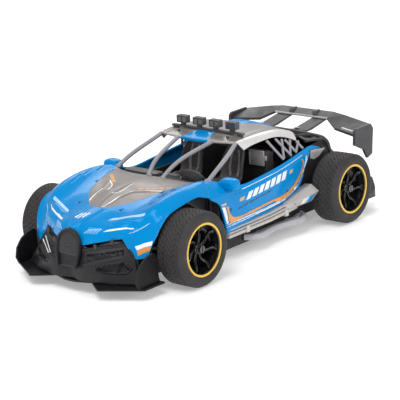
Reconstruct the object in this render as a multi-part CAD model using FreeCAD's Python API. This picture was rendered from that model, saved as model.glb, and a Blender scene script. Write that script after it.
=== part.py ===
import FreeCAD, Part
import math
import os

# Remote control rally car. Millimetres, +Z up, nose towards -Y, +X is the car's left side.
# Origin: on the ground, at the middle of the car's length and width.

# ------------------------------------------------------------------ driving dimensions
TYRE_R = 33.7            # outer radius of every tyre
WHEEL_X = 80.0           # middle plane of each wheel from the centre line
FRONT_Y = -105.0         # front axle line
REAR_Y = 124.0           # rear axle line
AXLE_Z = TYRE_R
RIM_R = 24.0             # rim seat, and outside of the coloured rim ring
RING_INNER_R = 22.0
BARREL_INNER_R = 21.6
SPOKES = 7
SHAFT_R = 2.0
RUNNING_GAP = 0.07       # radial clearance of every shaft that turns in a hole
KINGPIN_X = 66.0
KINGPIN_R = 1.5
STEER_ARM = 13.0         # kingpin to tie rod pin
HORN_ARM = 18.0          # steering motor shaft to tie rod pin
PIN_R = 1.3
SLOT_GAP = 0.28
GEAR_MODULE = 0.8
SPUR_TEETH = 40
PINION_TEETH = 12
PRESSURE_ANGLE = math.radians(25)
GEAR_X = (8.0, 14.0)     # the two gears span this stretch of X
SKIN = 1.6               # wall of the moulded body panels
PAN_Z = (8.5, 11.0)      # chassis floor, bottom and top
PANEL_GAP = 0.4          # gap at the joint between two panels
CABIN_Z = 46.0           # top of the cabin floor
SCREW_SINK = 1.2         # depth of a countersunk chassis screw head
SCREW_HEAD_R = 2.6
CHASSIS_SCREWS = [(x, y) for x in (-40, 40) for y in (-120, -40, 100, 140)]


# ------------------------------------------------------------------ shape helpers
def vec(point):
    return FreeCAD.Vector(*point)


def box(x, y, z):
    """Block from three (low, high) pairs."""
    corner = FreeCAD.Vector(x[0], y[0], z[0])
    return Part.makeBox(x[1] - x[0], y[1] - y[0], z[1] - z[0], corner)


def rod(start, end, radius):
    """Round bar between two points."""
    axis = vec(end) - vec(start)
    return Part.makeCylinder(radius, axis.Length, vec(start), axis)


def bent_bar(points, radius):
    """Round bar through several points, with rounded corners."""
    pieces = [rod(a, b, radius) for a, b in zip(points, points[1:])]
    pieces += [Part.makeSphere(radius, vec(p)) for p in points[1:-1]]
    return fuse(pieces)


def prism(outline, plane, low, high):
    """Extrude a closed outline drawn in the xy, xz or yz plane."""
    place = {"xy": lambda a, b: (a, b, low), "xz": lambda a, b: (a, low, b), "yz": lambda a, b: (low, a, b)}
    push = {"xy": (0, 0, high - low), "xz": (0, high - low, 0), "yz": (high - low, 0, 0)}
    corners = [vec(place[plane](a, b)) for a, b in outline]
    face = Part.Face(Part.makePolygon(corners + corners[:1]))
    return face.extrude(vec(push[plane]))


def revolve_x(profile, x, y, z):
    """Turn a closed (offset along X, radius) profile about an X axis through (x, y, z)."""
    corners = [FreeCAD.Vector(x + offset, y, z + radius) for offset, radius in profile]
    face = Part.Face(Part.makePolygon(corners + corners[:1]))
    return face.revolve(FreeCAD.Vector(x, y, z), FreeCAD.Vector(1, 0, 0), 360)


def fuse(shapes):
    first = shapes[0]
    return first.multiFuse(shapes[1:]) if len(shapes) > 1 else first


def mirrored(shape):
    """The same shape on the other side of the centre line."""
    return shape.mirror(FreeCAD.Vector(0, 0, 0), FreeCAD.Vector(1, 0, 0))


def group(shapes):
    """Separate solids that share one node."""
    return Part.makeCompound([solid for shape in shapes for solid in shape.Solids])


def main_solid(shape):
    """The largest solid of a cut result."""
    return max(shape.Solids, key=lambda solid: solid.Volume)


def net_normal(net, i, j):
    """Unit normal of a point net, from its neighbours."""
    rows, cols = len(net) - 1, len(net[0]) - 1
    along = net[min(i + 1, rows)][j] - net[max(i - 1, 0)][j]
    across = net[i][min(j + 1, cols)] - net[i][max(j - 1, 0)]
    normal = along.cross(across)
    normal.normalize()
    return normal


def skin(points, depth):
    """Closed thin panel: a net of outer points, and the same net moved by depth along its normals."""
    outer = [[vec(p) for p in row] for row in points]
    rows, cols = len(outer), len(outer[0])
    inner = [[outer[i][j] + net_normal(outer, i, j) * depth for j in range(cols)] for i in range(rows)]
    faces = []

    def quad(a, b, c, d):
        for corners in ((a, b, c), (a, c, d)):
            faces.append(Part.Face(Part.makePolygon(list(corners) + [corners[0]])))

    for i in range(rows - 1):
        for j in range(cols - 1):
            for net in (outer, inner):
                quad(net[i][j], net[i + 1][j], net[i + 1][j + 1], net[i][j + 1])
    for i in range(rows - 1):
        for j in (0, cols - 1):
            quad(outer[i][j], outer[i + 1][j], inner[i + 1][j], inner[i][j])
    for j in range(cols - 1):
        for i in (0, rows - 1):
            quad(outer[i][j], outer[i][j + 1], inner[i][j + 1], inner[i][j])
    shell = Part.makeShell(faces)
    shell.sewShape()
    solid = Part.Solid(shell)
    if solid.Volume < 0:
        solid.reverse()
    return solid


def ring_loft(rings):
    """Solid through closed rings of points, with flat facets between them."""
    rings = [[vec(p) for p in ring] for ring in rings]
    count = len(rings[0])
    faces = [Part.Face(Part.makePolygon(ring + ring[:1])) for ring in (rings[0], rings[-1])]
    for ring, following in zip(rings, rings[1:]):
        for j in range(count):
            a, b, c, d = ring[j], ring[(j + 1) % count], following[(j + 1) % count], following[j]
            faces += [Part.Face(Part.makePolygon([a, b, c, a])), Part.Face(Part.makePolygon([a, c, d, a]))]
    shell = Part.makeShell(faces)
    shell.sewShape()
    solid = Part.Solid(shell)
    if solid.Volume < 0:
        solid.reverse()
    return solid


def full_width(half_row):
    """A row of points from the centre outwards, continued to the other side."""
    return [(-x, y, z) for x, y, z in reversed(half_row[1:])] + list(half_row)


def grown(outline, gap):
    """Outline moved outwards by about gap, away from its middle."""
    cx = sum(p[0] for p in outline) / len(outline)
    cy = sum(p[1] for p in outline) / len(outline)
    result = []
    for x, y in outline:
        reach = math.hypot(x - cx, y - cy)
        result.append((x + (x - cx) / reach * gap, y + (y - cy) / reach * gap))
    return result


# ------------------------------------------------------------------ wheels
TYRE_PROFILE = [(-13.0, 24.2), (-14.0, 25.5), (-14.5, 28.0), (-13.8, 31.0), (-11.5, 33.0), (-9.0, 33.7),
                (9.0, 33.7), (11.5, 33.0), (13.8, 31.0), (14.5, 28.0), (14.3, 25.5), (13.8, 24.2)]
HUB_SPAN = (-8.0, 9.0)


def tyre(y):
    return revolve_x(TYRE_PROFILE, WHEEL_X, y, AXLE_Z)


def rim(y, bore):
    """Barrel, thin spokes and hub of one wheel."""
    barrel = revolve_x([(-13, BARREL_INNER_R), (-13, RIM_R), (12.5, RIM_R), (12.5, BARREL_INNER_R)],
                       WHEEL_X, y, AXLE_Z)
    hub = rod((WHEEL_X + HUB_SPAN[0], y, AXLE_Z), (WHEEL_X + HUB_SPAN[1], y, AXLE_Z), 5.2)
    pieces = [barrel, hub]
    for number in range(SPOKES):
        spoke = box((WHEEL_X + 4, WHEEL_X + 8), (y - 1.3, y + 1.3), (AXLE_Z + 3, AXLE_Z + 22.5))
        spoke.rotate(FreeCAD.Vector(WHEEL_X, y, AXLE_Z), FreeCAD.Vector(1, 0, 0), number * 360 / SPOKES)
        pieces.append(spoke)
    hole = rod((WHEEL_X - 20, y, AXLE_Z), (WHEEL_X + 20, y, AXLE_Z), bore)
    return fuse(pieces).cut(hole)


def rim_ring(y):
    return revolve_x([(12.6, RING_INNER_R), (12.6, RIM_R), (14.1, RIM_R), (14.1, RING_INNER_R)],
                     WHEEL_X, y, AXLE_Z)


def hub_screw(y):
    """Pan head screw at the outer end of an axle."""
    head = rod((WHEEL_X + 9.4, y, AXLE_Z), (WHEEL_X + 11.4, y, AXLE_Z), 3.4)
    slot = box((WHEEL_X + 10.6, WHEEL_X + 12), (y - 0.5, y + 0.5), (AXLE_Z - 4, AXLE_Z + 4))
    return head.cut(slot)


# ------------------------------------------------------------------ steering
ARM_Z = (27.0, 30.0)


def knuckle():
    """Left steering knuckle: kingpin block, stub axle and the arm with the tie rod pin."""
    block = box((61.5, 70.5), (FRONT_Y - 5, FRONT_Y + 5), (27.0, 40.4))
    stub = rod((70, FRONT_Y, AXLE_Z), (WHEEL_X + 9.35, FRONT_Y, AXLE_Z), SHAFT_R)
    arm = box((63.5, 68.5), (FRONT_Y + 4, FRONT_Y + STEER_ARM + 2.5), ARM_Z)
    pin_y = FRONT_Y + STEER_ARM
    pin = rod((KINGPIN_X, pin_y, ARM_Z[0]), (KINGPIN_X, pin_y, 35.5), PIN_R)
    hole = rod((KINGPIN_X, FRONT_Y, 20), (KINGPIN_X, FRONT_Y, 50), KINGPIN_R + RUNNING_GAP)
    return fuse([block, stub, arm, pin]).cut(hole)


def kingpin():
    return rod((KINGPIN_X, FRONT_Y, 24.0), (KINGPIN_X, FRONT_Y, 43.4), KINGPIN_R)


def front_axle_carrier():
    """Upper and lower arms that hold both kingpins, on a post from the chassis floor."""
    y = (FRONT_Y - 5, FRONT_Y + 5)
    pieces = [box((-69.5, 69.5), y, (40.8, 43.4)),
              box((-69.5, 69.5), y, (24.0, 26.6)),
              box((-18, 18), y, (PAN_Z[1], 42.0))]
    carrier = fuse(pieces)
    for x in (-KINGPIN_X, KINGPIN_X):
        carrier = carrier.cut(rod((x, FRONT_Y, 20), (x, FRONT_Y, 50), KINGPIN_R))
    return carrier


def slot_hole(x, y_pair, z_pair):
    """Short slot along Y for a steering pin."""
    radius = PIN_R + SLOT_GAP
    ends = [rod((x, y, z_pair[0]), (x, y, z_pair[1]), radius) for y in y_pair]
    return fuse(ends + [box((x - radius, x + radius), y_pair, z_pair)])


def tie_rod():
    """Flat bar that joins both knuckles and the steering motor's horn."""
    y = FRONT_Y + STEER_ARM
    bar = box((-69, 69), (y - 2.5, y + 2.5), (31.0, 34.0))
    for x in (-KINGPIN_X, KINGPIN_X):
        bar = bar.cut(slot_hole(x, (y - 0.7, y), (30, 35)))
    return bar.cut(slot_hole(0, (y, y + 0.5), (30, 35)))


HORN_Y = FRONT_Y + STEER_ARM + HORN_ARM


def steering_motor():
    """Geared steering motor with its upright output shaft."""
    case = box((-11, 11), (HORN_Y - 9, HORN_Y + 16), (PAN_Z[1], 31.5))
    return case.fuse(rod((0, HORN_Y, 31), (0, HORN_Y, 38.5), SHAFT_R))


def servo_horn():
    y = FRONT_Y + STEER_ARM
    hub = rod((0, HORN_Y, 34.8), (0, HORN_Y, 38.2), 4.2)
    arm = box((-2.2, 2.2), (y - 2.2, HORN_Y), (34.8, 37.2))
    pin = rod((0, y, 31.2), (0, y, 36), PIN_R)
    hole = rod((0, HORN_Y, 30), (0, HORN_Y, 40), SHAFT_R + RUNNING_GAP)
    return fuse([hub, arm, pin]).cut(hole)


# ------------------------------------------------------------------ rear drive
def involute(angle):
    return math.tan(angle) - angle


def gear(teeth, y, z, bore, turn):
    """Spur gear about an X axis, with involute flanks and a little backlash."""
    pitch_r = GEAR_MODULE * teeth / 2
    base_r = pitch_r * math.cos(PRESSURE_ANGLE)
    root_r = pitch_r - 1.1 * GEAR_MODULE
    tip_r = pitch_r + 0.75 * GEAR_MODULE
    half_tooth = math.pi / (2 * teeth) - 0.07 / pitch_r
    start_r = max(base_r, root_r) + 0.01
    flank = []
    for step in range(4):
        radius = start_r + (tip_r - start_r) * step / 3
        lean = involute(PRESSURE_ANGLE) - involute(math.acos(base_r / radius))
        flank.append((radius, half_tooth + lean))
    flank.insert(0, (root_r, flank[0][1]))
    corners = []
    for number in range(teeth):
        middle = turn + number * 2 * math.pi / teeth
        side = [(radius, middle - angle) for radius, angle in flank]
        other = [(radius, middle + angle) for radius, angle in reversed(flank)]
        for radius, angle in side + other:
            corners.append((y + radius * math.cos(angle), z + radius * math.sin(angle)))
    body = prism(corners, "yz", GEAR_X[0], GEAR_X[1])
    return body.cut(rod((0, y, z), (30, y, z), bore))


PINION_Y = REAR_Y - GEAR_MODULE * (SPUR_TEETH + PINION_TEETH) / 2 - 0.1


def rear_axle():
    return rod((-WHEEL_X - 9.35, REAR_Y, AXLE_Z), (WHEEL_X + 9.35, REAR_Y, AXLE_Z), SHAFT_R)


def drive_motor():
    """Can motor across the car, with a fixed nose boss; its shaft belongs to the pinion."""
    can = rod((-36, PINION_Y, AXLE_Z), (3.8, PINION_Y, AXLE_Z), 12.0)
    flats = box((-40, 6), (PINION_Y - 20, PINION_Y + 20), (AXLE_Z - 10, AXLE_Z + 10))
    hole = rod((-2, PINION_Y, AXLE_Z), (5, PINION_Y, AXLE_Z), 1.5 + RUNNING_GAP)
    return can.common(flats).cut(hole)


def motor_pinion():
    """Pinion and the motor shaft that it is pressed on, as one turning piece."""
    teeth = gear(PINION_TEETH, PINION_Y, AXLE_Z, 0.5, math.pi / PINION_TEETH)
    shaft = rod((-1.8, PINION_Y, AXLE_Z), (GEAR_X[1] + 0.5, PINION_Y, AXLE_Z), 1.5)
    return teeth.fuse(shaft)


def gearbox_case():
    """Box over both gears, open towards the motor and round the axle."""
    x = (4.4, 17.4)
    y = (PINION_Y - 8, REAR_Y + 20)
    z = (PAN_Z[1], 54.0)
    inside = box((x[0] + 1.4, x[1] - 1.4), (y[0] + 1.4, y[1] - 1.4), (z[0] + 2, z[1] - 1.4))
    shaft_hole = rod((x[0] - 1, PINION_Y, AXLE_Z), (x[0] + 3, PINION_Y, AXLE_Z), 3.2)
    axle_hole = rod((x[0] - 1, REAR_Y, AXLE_Z), (x[1] + 1, REAR_Y, AXLE_Z), 3.2)
    return box(x, y, z).cut(inside).cut(shaft_hole).cut(axle_hole)


def bearing(side):
    outer = rod((side * 44, REAR_Y, AXLE_Z), (side * 48, REAR_Y, AXLE_Z), 5.0)
    return outer.cut(rod((side * 40, REAR_Y, AXLE_Z), (side * 52, REAR_Y, AXLE_Z), SHAFT_R + RUNNING_GAP))


def rear_axle_carrier():
    """Two upright cheeks that hold the axle bearings, and the beam between them."""
    pieces = []
    for side in (-1, 1):
        cheek = prism([(REAR_Y - 16, PAN_Z[1]), (REAR_Y - 9, 44), (REAR_Y + 9, 44), (REAR_Y + 16, PAN_Z[1])],
                      "yz", *sorted((side * 44, side * 48)))
        pieces.append(cheek.cut(rod((side * 40, REAR_Y, AXLE_Z), (side * 52, REAR_Y, AXLE_Z), 5.0)))
    beam_y = (REAR_Y + 20.4, REAR_Y + 23.6)
    pieces.append(box((-46, 46), beam_y, (PAN_Z[1], 18)))
    for side in (-1, 1):
        pieces.append(box(sorted((side * 44, side * 48)), (REAR_Y + 14, beam_y[1]), (PAN_Z[1], 18)))
    return fuse(pieces)


# ------------------------------------------------------------------ chassis and inside pieces
PAN_OUTLINE = [(50, -135.6), (50, -66), (60, -58), (60, 84), (52, 90), (52, 150)]
BATTERY_DOOR = ((-21, 21), (-14, 64))
SWITCH_SLOT = ((28, 32), (66, 78))


def chassis_pan():
    """Floor tub with a low wall, a battery hatch and a slot for the switch."""
    outline = PAN_OUTLINE + [(-x, y) for x, y in reversed(PAN_OUTLINE)]
    inner = [(x - math.copysign(2, x), y) for x, y in PAN_OUTLINE]
    inner[0] = (inner[0][0], -133.6)
    inner[-1] = (inner[-1][0], 148)
    inside = inner + [(-x, y) for x, y in reversed(inner)]
    pan = prism(outline, "xy", PAN_Z[0], 22.0).cut(prism(inside, "xy", PAN_Z[1], 23.0))
    hatch = box(*BATTERY_DOOR, (PAN_Z[0] - 1, PAN_Z[1] + 1))
    slot = box(*SWITCH_SLOT, (PAN_Z[0] - 1, PAN_Z[1] + 1))
    for x, y in CHASSIS_SCREWS:
        pan = pan.cut(chassis_screw_hole(x, y))
    return pan.cut(hatch).cut(slot)


def battery_door():
    """Flush hatch cover with finger grooves."""
    (x0, x1), (y0, y1) = BATTERY_DOOR
    gap = PANEL_GAP
    door = box((x0 + gap, x1 - gap), (y0 + gap, y1 - gap), (PAN_Z[0], PAN_Z[1] - 0.2))
    for number in range(4):
        y = y0 + 8 + 4 * number
        door = door.cut(box((-12, 12), (y, y + 1.6), (PAN_Z[0] - 1, PAN_Z[0] + 0.8)))
    return door.cut(rod((0, y1 - 6, 0), (0, y1 - 6, 20), 1.5))


def battery_pack():
    """Two round cells side by side in one shrink sleeve."""
    cells = [rod((x, -10, 21.5), (x, 58, 21.5), 9.2) for x in (-9.3, 9.3)]
    return fuse(cells + [box((-9.3, 9.3), (-10, 58), (14, 29))])


def receiver_board():
    board = box((-52, -28), (-20, 40), (24.0, 25.6))
    chip = box((-46, -36), (0, 10), (25.6, 27.4))
    can = rod((-34, 28, 25.6), (-34, 28, 33), 3.2)
    posts = [rod((x, y, PAN_Z[1]), (x, y, 24.0), 2.0) for x in (-49, -31) for y in (-17, 37)]
    return fuse([board, chip, can] + posts)


def power_switch():
    """Sliding knob that shows under the floor."""
    (x0, x1), (y0, _) = SWITCH_SLOT
    stem = box((x0 + 0.5, x1 - 0.5), (y0 + 0.5, y0 + 5.5), (7.2, 12.6))
    plate = box((x0 - 2, x1 + 2), (y0 - 1, y0 + 7), (11.3, 12.6))
    return stem.fuse(plate)


def switch_housing():
    (x0, x1), (y0, y1) = SWITCH_SLOT
    housing = box((x0 - 5, x1 + 5), (y0 - 4, y1 + 5), (PAN_Z[1], 19))
    return housing.cut(box((x0 - 2.5, x1 + 2.5), (y0 - 1.5, y1 + 2), (PAN_Z[1] - 1, 13.2)))


def cabin_tray():
    """Dark cabin floor with side walls, over the battery and boards."""
    floor = box((-57.5, 57.5), (-50, 87), (CABIN_Z - 2, CABIN_Z))
    walls = [box(x, (-50, 87), (CABIN_Z - 2, 60)) for x in ((-57.5, -56), (56, 57.5))]
    tunnel = box((-7, 7), (-28, 48), (CABIN_Z - 1, CABIN_Z + 6))
    feet = [box((x - 3, x + 3), (y - 3, y + 3), (PAN_Z[1], CABIN_Z - 1))
            for x in (-54, 54) for y in (-44, 80)]
    return fuse([floor, tunnel] + walls + feet)


def seat(x):
    """High-backed bucket seat with side bolsters."""
    side_view = [(4, CABIN_Z + 0.3), (4, 54), (23, 52), (29, 74), (31, 91), (37, 90), (36, 72),
                 (31, CABIN_Z + 0.3)]
    body = prism(side_view, "yz", x - 12, x + 12)
    shoulder_cut = [(x - 20, 82), (x - 6, 95), (x - 20, 95)]
    for outline in (shoulder_cut, [(2 * x - a, b) for a, b in shoulder_cut]):
        body = body.cut(prism(outline, "xz", 0, 60))
    for edge in (-12, 10):
        bolster = prism([(10, CABIN_Z + 0.3), (10, 57), (21, 56), (26, 72), (34, 72), (31, CABIN_Z + 0.3)],
                        "yz", x + edge, x + edge + 2)
        body = body.fuse(bolster)
    return body


def dashboard():
    side_view = [(-49.2, CABIN_Z + 0.3), (-49.2, 68.4), (-44, 70.6), (-34, 70), (-27, 62),
                 (-29, CABIN_Z + 0.3)]
    binnacle = box((15, 33), (-38, -30), (66, 72.5))
    return prism(side_view, "yz", -54, 54).fuse(binnacle)


def steering_wheel():
    """Toy steering wheel on a short column behind the dashboard."""
    centre = vec((24, -22, 64))
    axis = vec((0, 0.9, 0.43))
    ring = Part.makeTorus(9.0, 1.2, centre, axis)
    spokes = [rod((15, -22, 64), (33, -22, 64), 0.9)]
    return fuse([ring, rod(tuple(centre), (24, -27.6, 61.3), 1.8)] + spokes)


def cabin_bulkhead():
    panel = box((-50, 50), (52, 56), (CABIN_Z + 0.3, 80))
    cover = box((20, 50), (44, 52), (CABIN_Z + 0.3, 82))
    return panel.fuse(cover)


# ------------------------------------------------------------------ body panels
# Long lines of the front body, from the front edge back to the windscreen, one per height line.
FRONT_LINES = [
    [(0, -172, 58), (0, -164, 60.8), (0, -153, 63.6), (0, -140, 66.3), (0, -122, 70.5), (0, -104, 74.2),
     (0, -84, 77.2), (0, -64, 77.2), (0, -51, 75.8)],
    [(12.8, -171, 42.3), (15, -166, 56.5), (15, -153, 61.8), (14, -139, 65.4), (14, -121, 69.8),
     (15, -104, 73.4), (16, -84, 76.2), (17, -64, 76.6), (17, -51, 75.3)],
    [(28.5, -163, 45.8), (30.5, -158, 56), (30, -148, 60.5), (30, -136, 65), (31, -120, 69.3),
     (33, -104, 72.6), (36, -84, 75.2), (38, -64, 76.2), (38, -51, 75)],
    [(43, -153.3, 48.5), (45.5, -150, 57.3), (46, -143, 62.5), (46, -133, 67), (46.5, -119, 71.3),
     (47.5, -104, 74.5), (49, -84, 77), (50, -64, 77.2), (50, -51, 75.6)],
    [(54.5, -151.9, 31.3), (56.5, -146.6, 44.9), (58, -139.6, 55.1), (59, -132, 67.5), (59, -119, 74.8),
     (59, -104, 78.2), (59, -84, 80.4), (59, -66, 80.2), (58, -58, 79)],
    [(60, -149.7, 31.9), (63, -145.9, 42.2), (65.5, -139.6, 52.1), (66.5, -132, 62), (66.5, -119, 70.5),
     (66.5, -104, 74.5), (66.5, -84, 77), (66.5, -70, 75.5), (66, -62, 74)],
    [(65.5, -146.1, 33.7), (67, -144.4, 41.7), (69, -141, 50.3), (70.5, -133, 61), (70.5, -120, 67),
     (70.5, -104, 70), (70.5, -84, 72.2), (70.5, -74, 70), (70.5, -67, 67.5)],
]
BONNET_OUTLINE = [(7, -138), (23, -122), (31, -110), (36, -97), (40, -84), (45, -66), (54, -40)]

# Door skin: rows run from front to rear, points from the top edge down.
DOOR_ROWS = [
    [(58, -57.5, 78.6), (66, -61.5, 74), (70.3, -66.4, 67.3), (70.8, -56, 60), (70.8, -48, 46),
     (69.5, -41, 28)],
    [(59, -48, 77), (67, -49, 71.5), (70, -50, 66), (70.8, -46, 58), (70.5, -42, 45), (69, -37, 28)],
    [(61.5, -34, 72), (68, -34, 67), (70, -34, 61), (70.5, -33, 53), (70, -32, 42), (68.5, -30, 28.5)],
    [(65, -15, 66.7), (69, -15, 62.5), (70, -15, 57), (70, -14, 50), (69.5, -12, 40), (67.5, -10, 29)],
    [(66, 10, 67.8), (69.5, 10, 63.5), (70, 10, 58), (69.5, 10, 50), (68.5, 11, 41), (66.5, 12, 30)],
    [(66, 35, 70.2), (69, 35, 66), (69.5, 35, 60), (69, 35, 52), (67.5, 36, 42), (65.5, 37, 31.5)],
    [(65, 60, 73.2), (68, 60, 69), (68.5, 60, 63), (67.5, 60, 54.5), (66, 60, 45), (64, 61, 34)],
    [(63, 80, 75.6), (66, 80, 71.8), (66.5, 79, 66), (65.5, 78, 58), (64, 77, 48.5), (62.5, 75, 37.5)],
    [(60.5, 96, 76.8), (63, 96, 73.5), (63.5, 94, 68), (62.5, 90, 60.5), (61.5, 87, 51), (60.5, 83, 43)],
]

# Dark rear haunch beside each rear wheel, behind the door.
HAUNCH_ROWS = [
    [(59.5, 96.5, 76.4), (62.5, 96.5, 73), (63, 94.5, 67.5), (62, 90.5, 60), (61, 87.5, 50.5), (60, 83.5, 36)],
    [(58.5, 112, 77.5), (61, 112, 73.5), (61.5, 111, 67), (61, 108, 58), (60.5, 105, 48), (60, 100, 34)],
    [(57.5, 130, 75.5), (60, 131, 70.5), (60.5, 131, 64), (60, 130, 56), (59.5, 128, 46), (59, 126, 34)],
    [(56, 141, 66.5), (58.5, 142, 63), (59, 142, 58), (59, 141.5, 52), (58.5, 140.5, 44), (58, 140, 34)],
    [(55, 150, 60), (57, 152, 57.5), (57.5, 153, 54), (57.5, 153, 48), (57, 153, 42), (56.5, 153, 34)],
]

ROOF_LINES = [
    [(0, 1, 97.8), (0, 12, 100.5), (0, 32, 102.3), (0, 52, 102.3), (0, 74, 99.5), (0, 92, 94.5),
     (0, 106, 89)],
    [(22, 3, 98.2), (22, 13, 100.5), (22, 33, 101.8), (22, 53, 101.5), (22, 75, 98.5), (22, 92, 93.5),
     (22, 105, 88.5)],
    [(42.5, 6, 98.8), (43, 15, 99.8), (43, 35, 100.3), (42.5, 55, 99.6), (41.5, 76, 96.8), (40.5, 92, 92),
     (40, 103, 87.5)],
]
RAIL_ROWS = [
    [(43.4, 6.5, 99), (46, 7.3, 98), (47.5, 10, 94.5), (48.5, 13.6, 90.5)],
    [(43.9, 15, 99.8), (47, 15.5, 98.8), (48.5, 17, 96), (49.5, 20, 92.3)],
    [(43.9, 35, 100.3), (47.5, 35, 99), (49.5, 36, 96.8), (50.5, 37, 94)],
    [(43.4, 55, 99.6), (47, 55, 98.5), (49.5, 56, 96.5), (51, 57, 93.9)],
    [(42.4, 76, 96.8), (46.5, 76, 95.6), (49.5, 76, 93), (51.5, 76, 89.8)],
    [(41.4, 94, 91.4), (46, 93.5, 90.2), (50, 92, 87.2), (53, 90, 84)],
]
SCOOP_LINES = [
    [(0, 60, 101.9), (0, 68, 102.2), (0, 80, 100.2), (0, 92, 96.4), (0, 109, 89.9)],
    [(7, 61, 101.7), (7.5, 69, 101.7), (8, 80, 99.6), (8.5, 92, 95.7), (9, 108.5, 89.4)],
    [(11, 62, 101), (12, 69, 99.6), (13, 80, 97.2), (14, 92, 93.4), (15, 107.5, 88)],
]
DECK_LINES = [
    [(0, 108, 85.6), (0, 125, 81.5), (0, 138, 79), (0, 150, 74)],
    [(25, 107, 85.4), (25, 125, 81.3), (25, 138, 78.6), (25, 150, 73)],
    [(44, 104, 84.4), (46, 125, 80.6), (46, 136, 75.5), (46, 150, 63)],
    [(55.5, 103, 80.4), (56.3, 125, 78.4), (55, 136, 71.5), (53, 150, 60.5)],
]


def lines_to_net(lines):
    """Net of rows across the car from long lines along one half of it."""
    return [full_width([line[station] for line in lines]) for station in range(len(lines[0]))]


def bonnet_cutter(gap):
    """Upright prism over the V-shaped bonnet insert."""
    half = BONNET_OUTLINE
    outline = half + [(-x, y) for x, y in reversed(half)]
    return prism(grown(outline, gap), "xy", 40, 100)


def front_skin():
    return skin(lines_to_net(FRONT_LINES), SKIN)


def front_shell():
    """Blue nose with both front wings, open for the bonnet insert."""
    return main_solid(front_skin().cut(bonnet_cutter(PANEL_GAP)))


def bonnet_panel():
    return main_solid(front_skin().common(bonnet_cutter(0)))


def door_panel():
    return skin(DOOR_ROWS, SKIN)


def rear_haunch():
    """Side wall inboard of a rear wheel, with a hole for the axle."""
    return skin(HAUNCH_ROWS, SKIN).cut(rod((40, REAR_Y, AXLE_Z), (80, REAR_Y, AXLE_Z), 4.0))


def mirror_pod():
    """Rounded door mirror on a short foot."""
    pod = Part.makeSphere(1.0, vec((0, 0, 0)))
    stretch = FreeCAD.Matrix()
    stretch.scale(7.5, 5.5, 4.8)
    pod = pod.transformGeometry(stretch)
    pod.translate(vec((70, -34, 75)))
    foot = rod((62, -40, 73.4), (69, -35, 75), 2.2)
    return pod.fuse(foot)


def roof_scoop():
    return skin(lines_to_net(SCOOP_LINES), 1.2)


LAMP_XS = [-29.2, -9.7, 9.7, 29.2]
LIGHT_BAR_Y = 22.0
LIGHT_BAR_HALF = 42.3
LIGHT_BAR_Z = (101.9, 103.9)
LAMP_Z = (106.4, 113.4)
LAMP_HALF_W = 5.9


def light_bar():
    """Roof bar with end feet and one stalk under each lamp."""
    y = LIGHT_BAR_Y
    low, high = LIGHT_BAR_Z
    pieces = [box((-LIGHT_BAR_HALF, LIGHT_BAR_HALF), (y - 2, y + 2), (low, high))]
    pieces += [box((x - 2.4, x + 2.4), (y - 1.5, y + 1.5), (high - 0.5, LAMP_Z[0] - 0.1)) for x in LAMP_XS]
    pieces += [box((x - 2.5, x + 2.5), (y - 2, y + 2), (low - 2.4, low + 0.5)) for x in (-38, 38)]
    return fuse(pieces)


def roof_lamp(x):
    y = LIGHT_BAR_Y
    housing = box((x - LAMP_HALF_W, x + LAMP_HALF_W), (y - 3.2, y + 3.4), LAMP_Z)
    for side in (-1, 1):
        cell = sorted((x + side * 0.5, x + side * 5.1))
        housing = housing.cut(box(cell, (y - 4, y - 2), (LAMP_Z[0] + 0.9, LAMP_Z[1] - 0.9)))
    return housing


def lamp_lens(x, side):
    cell = sorted((x + side * 0.7, x + side * 4.9))
    return box(cell, (LIGHT_BAR_Y - 2.9, LIGHT_BAR_Y - 2.1), (LAMP_Z[0] + 1.1, LAMP_Z[1] - 1.1))


PILLAR_R = 2.0


def pillar_outer():
    return bent_bar([(53.5, -48, 75), (52, -32, 82.5), (48.5, -12, 90), (44, 6, 97)], PILLAR_R)


def pillar_inner():
    return bent_bar([(7.5, -47.2, 72.6), (10.5, -38, 81), (16, -19, 90.5), (21, 2, 97.5)], PILLAR_R)


SLAT_R = 1.1


def window_net():
    """Lattice in the rear quarter window."""
    slats = [((52, 45, 92), (60.5, 66, 74)),
             ((53, 72, 85.5), (60.5, 78, 75)),
             ((61, 55, 76), (53, 78, 84.5)),
             ((60.5, 70, 75.5), (54, 89, 79.5))]
    return fuse([rod(a, b, SLAT_R) for a, b in slats])


# ------------------------------------------------------------------ bumper, splitter, grille
BUMPER_LINES = [
    [(0, -168, 54), (0, -172, 34), (0, -174, 12)],
    [(14.2, -169.3, 41), (14.4, -174, 33), (14, -177, 12)],
    [(28, -161, 44.5), (28, -170, 34), (28, -174, 12)],
    [(42, -150.8, 46.8), (42, -161, 36), (45, -168, 12)],
    [(51, -149.4, 39.7), (52, -154.4, 31.7), (57, -161.5, 12)],
    [(57, -149.9, 30.3), (59, -152.2, 24.5), (66, -157, 12)],
]
SPLITTER_OUTLINE = [(0, -176.8), (7, -176.2), (20.6, -171), (36.5, -183), (40, -185), (74.5, -163.3),
                    (75, -137.5), (49.5, -136.2)]
SPLITTER_Z = (9.4, 11.0)
FIN_OUTLINE = [(-166.5, 10.5), (-170, 17), (-168.2, 26), (-162, 33), (-154.5, 37), (-147, 38.6),
               (-143.5, 36.8), (-142, 22), (-139.5, 10.5)]


def front_bumper():
    return skin(lines_to_net(BUMPER_LINES), 2.0)


def front_splitter():
    """Flat lip with a stepped edge and a tall fin on each side."""
    half = SPLITTER_OUTLINE
    outline = half + [(-x, y) for x, y in reversed(half[1:])]
    pieces = [prism(outline, "xy", *SPLITTER_Z)]
    pieces += [prism(FIN_OUTLINE, "yz", *sorted((side * 69.6, side * 71.4))) for side in (-1, 1)]
    return fuse(pieces)


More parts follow.
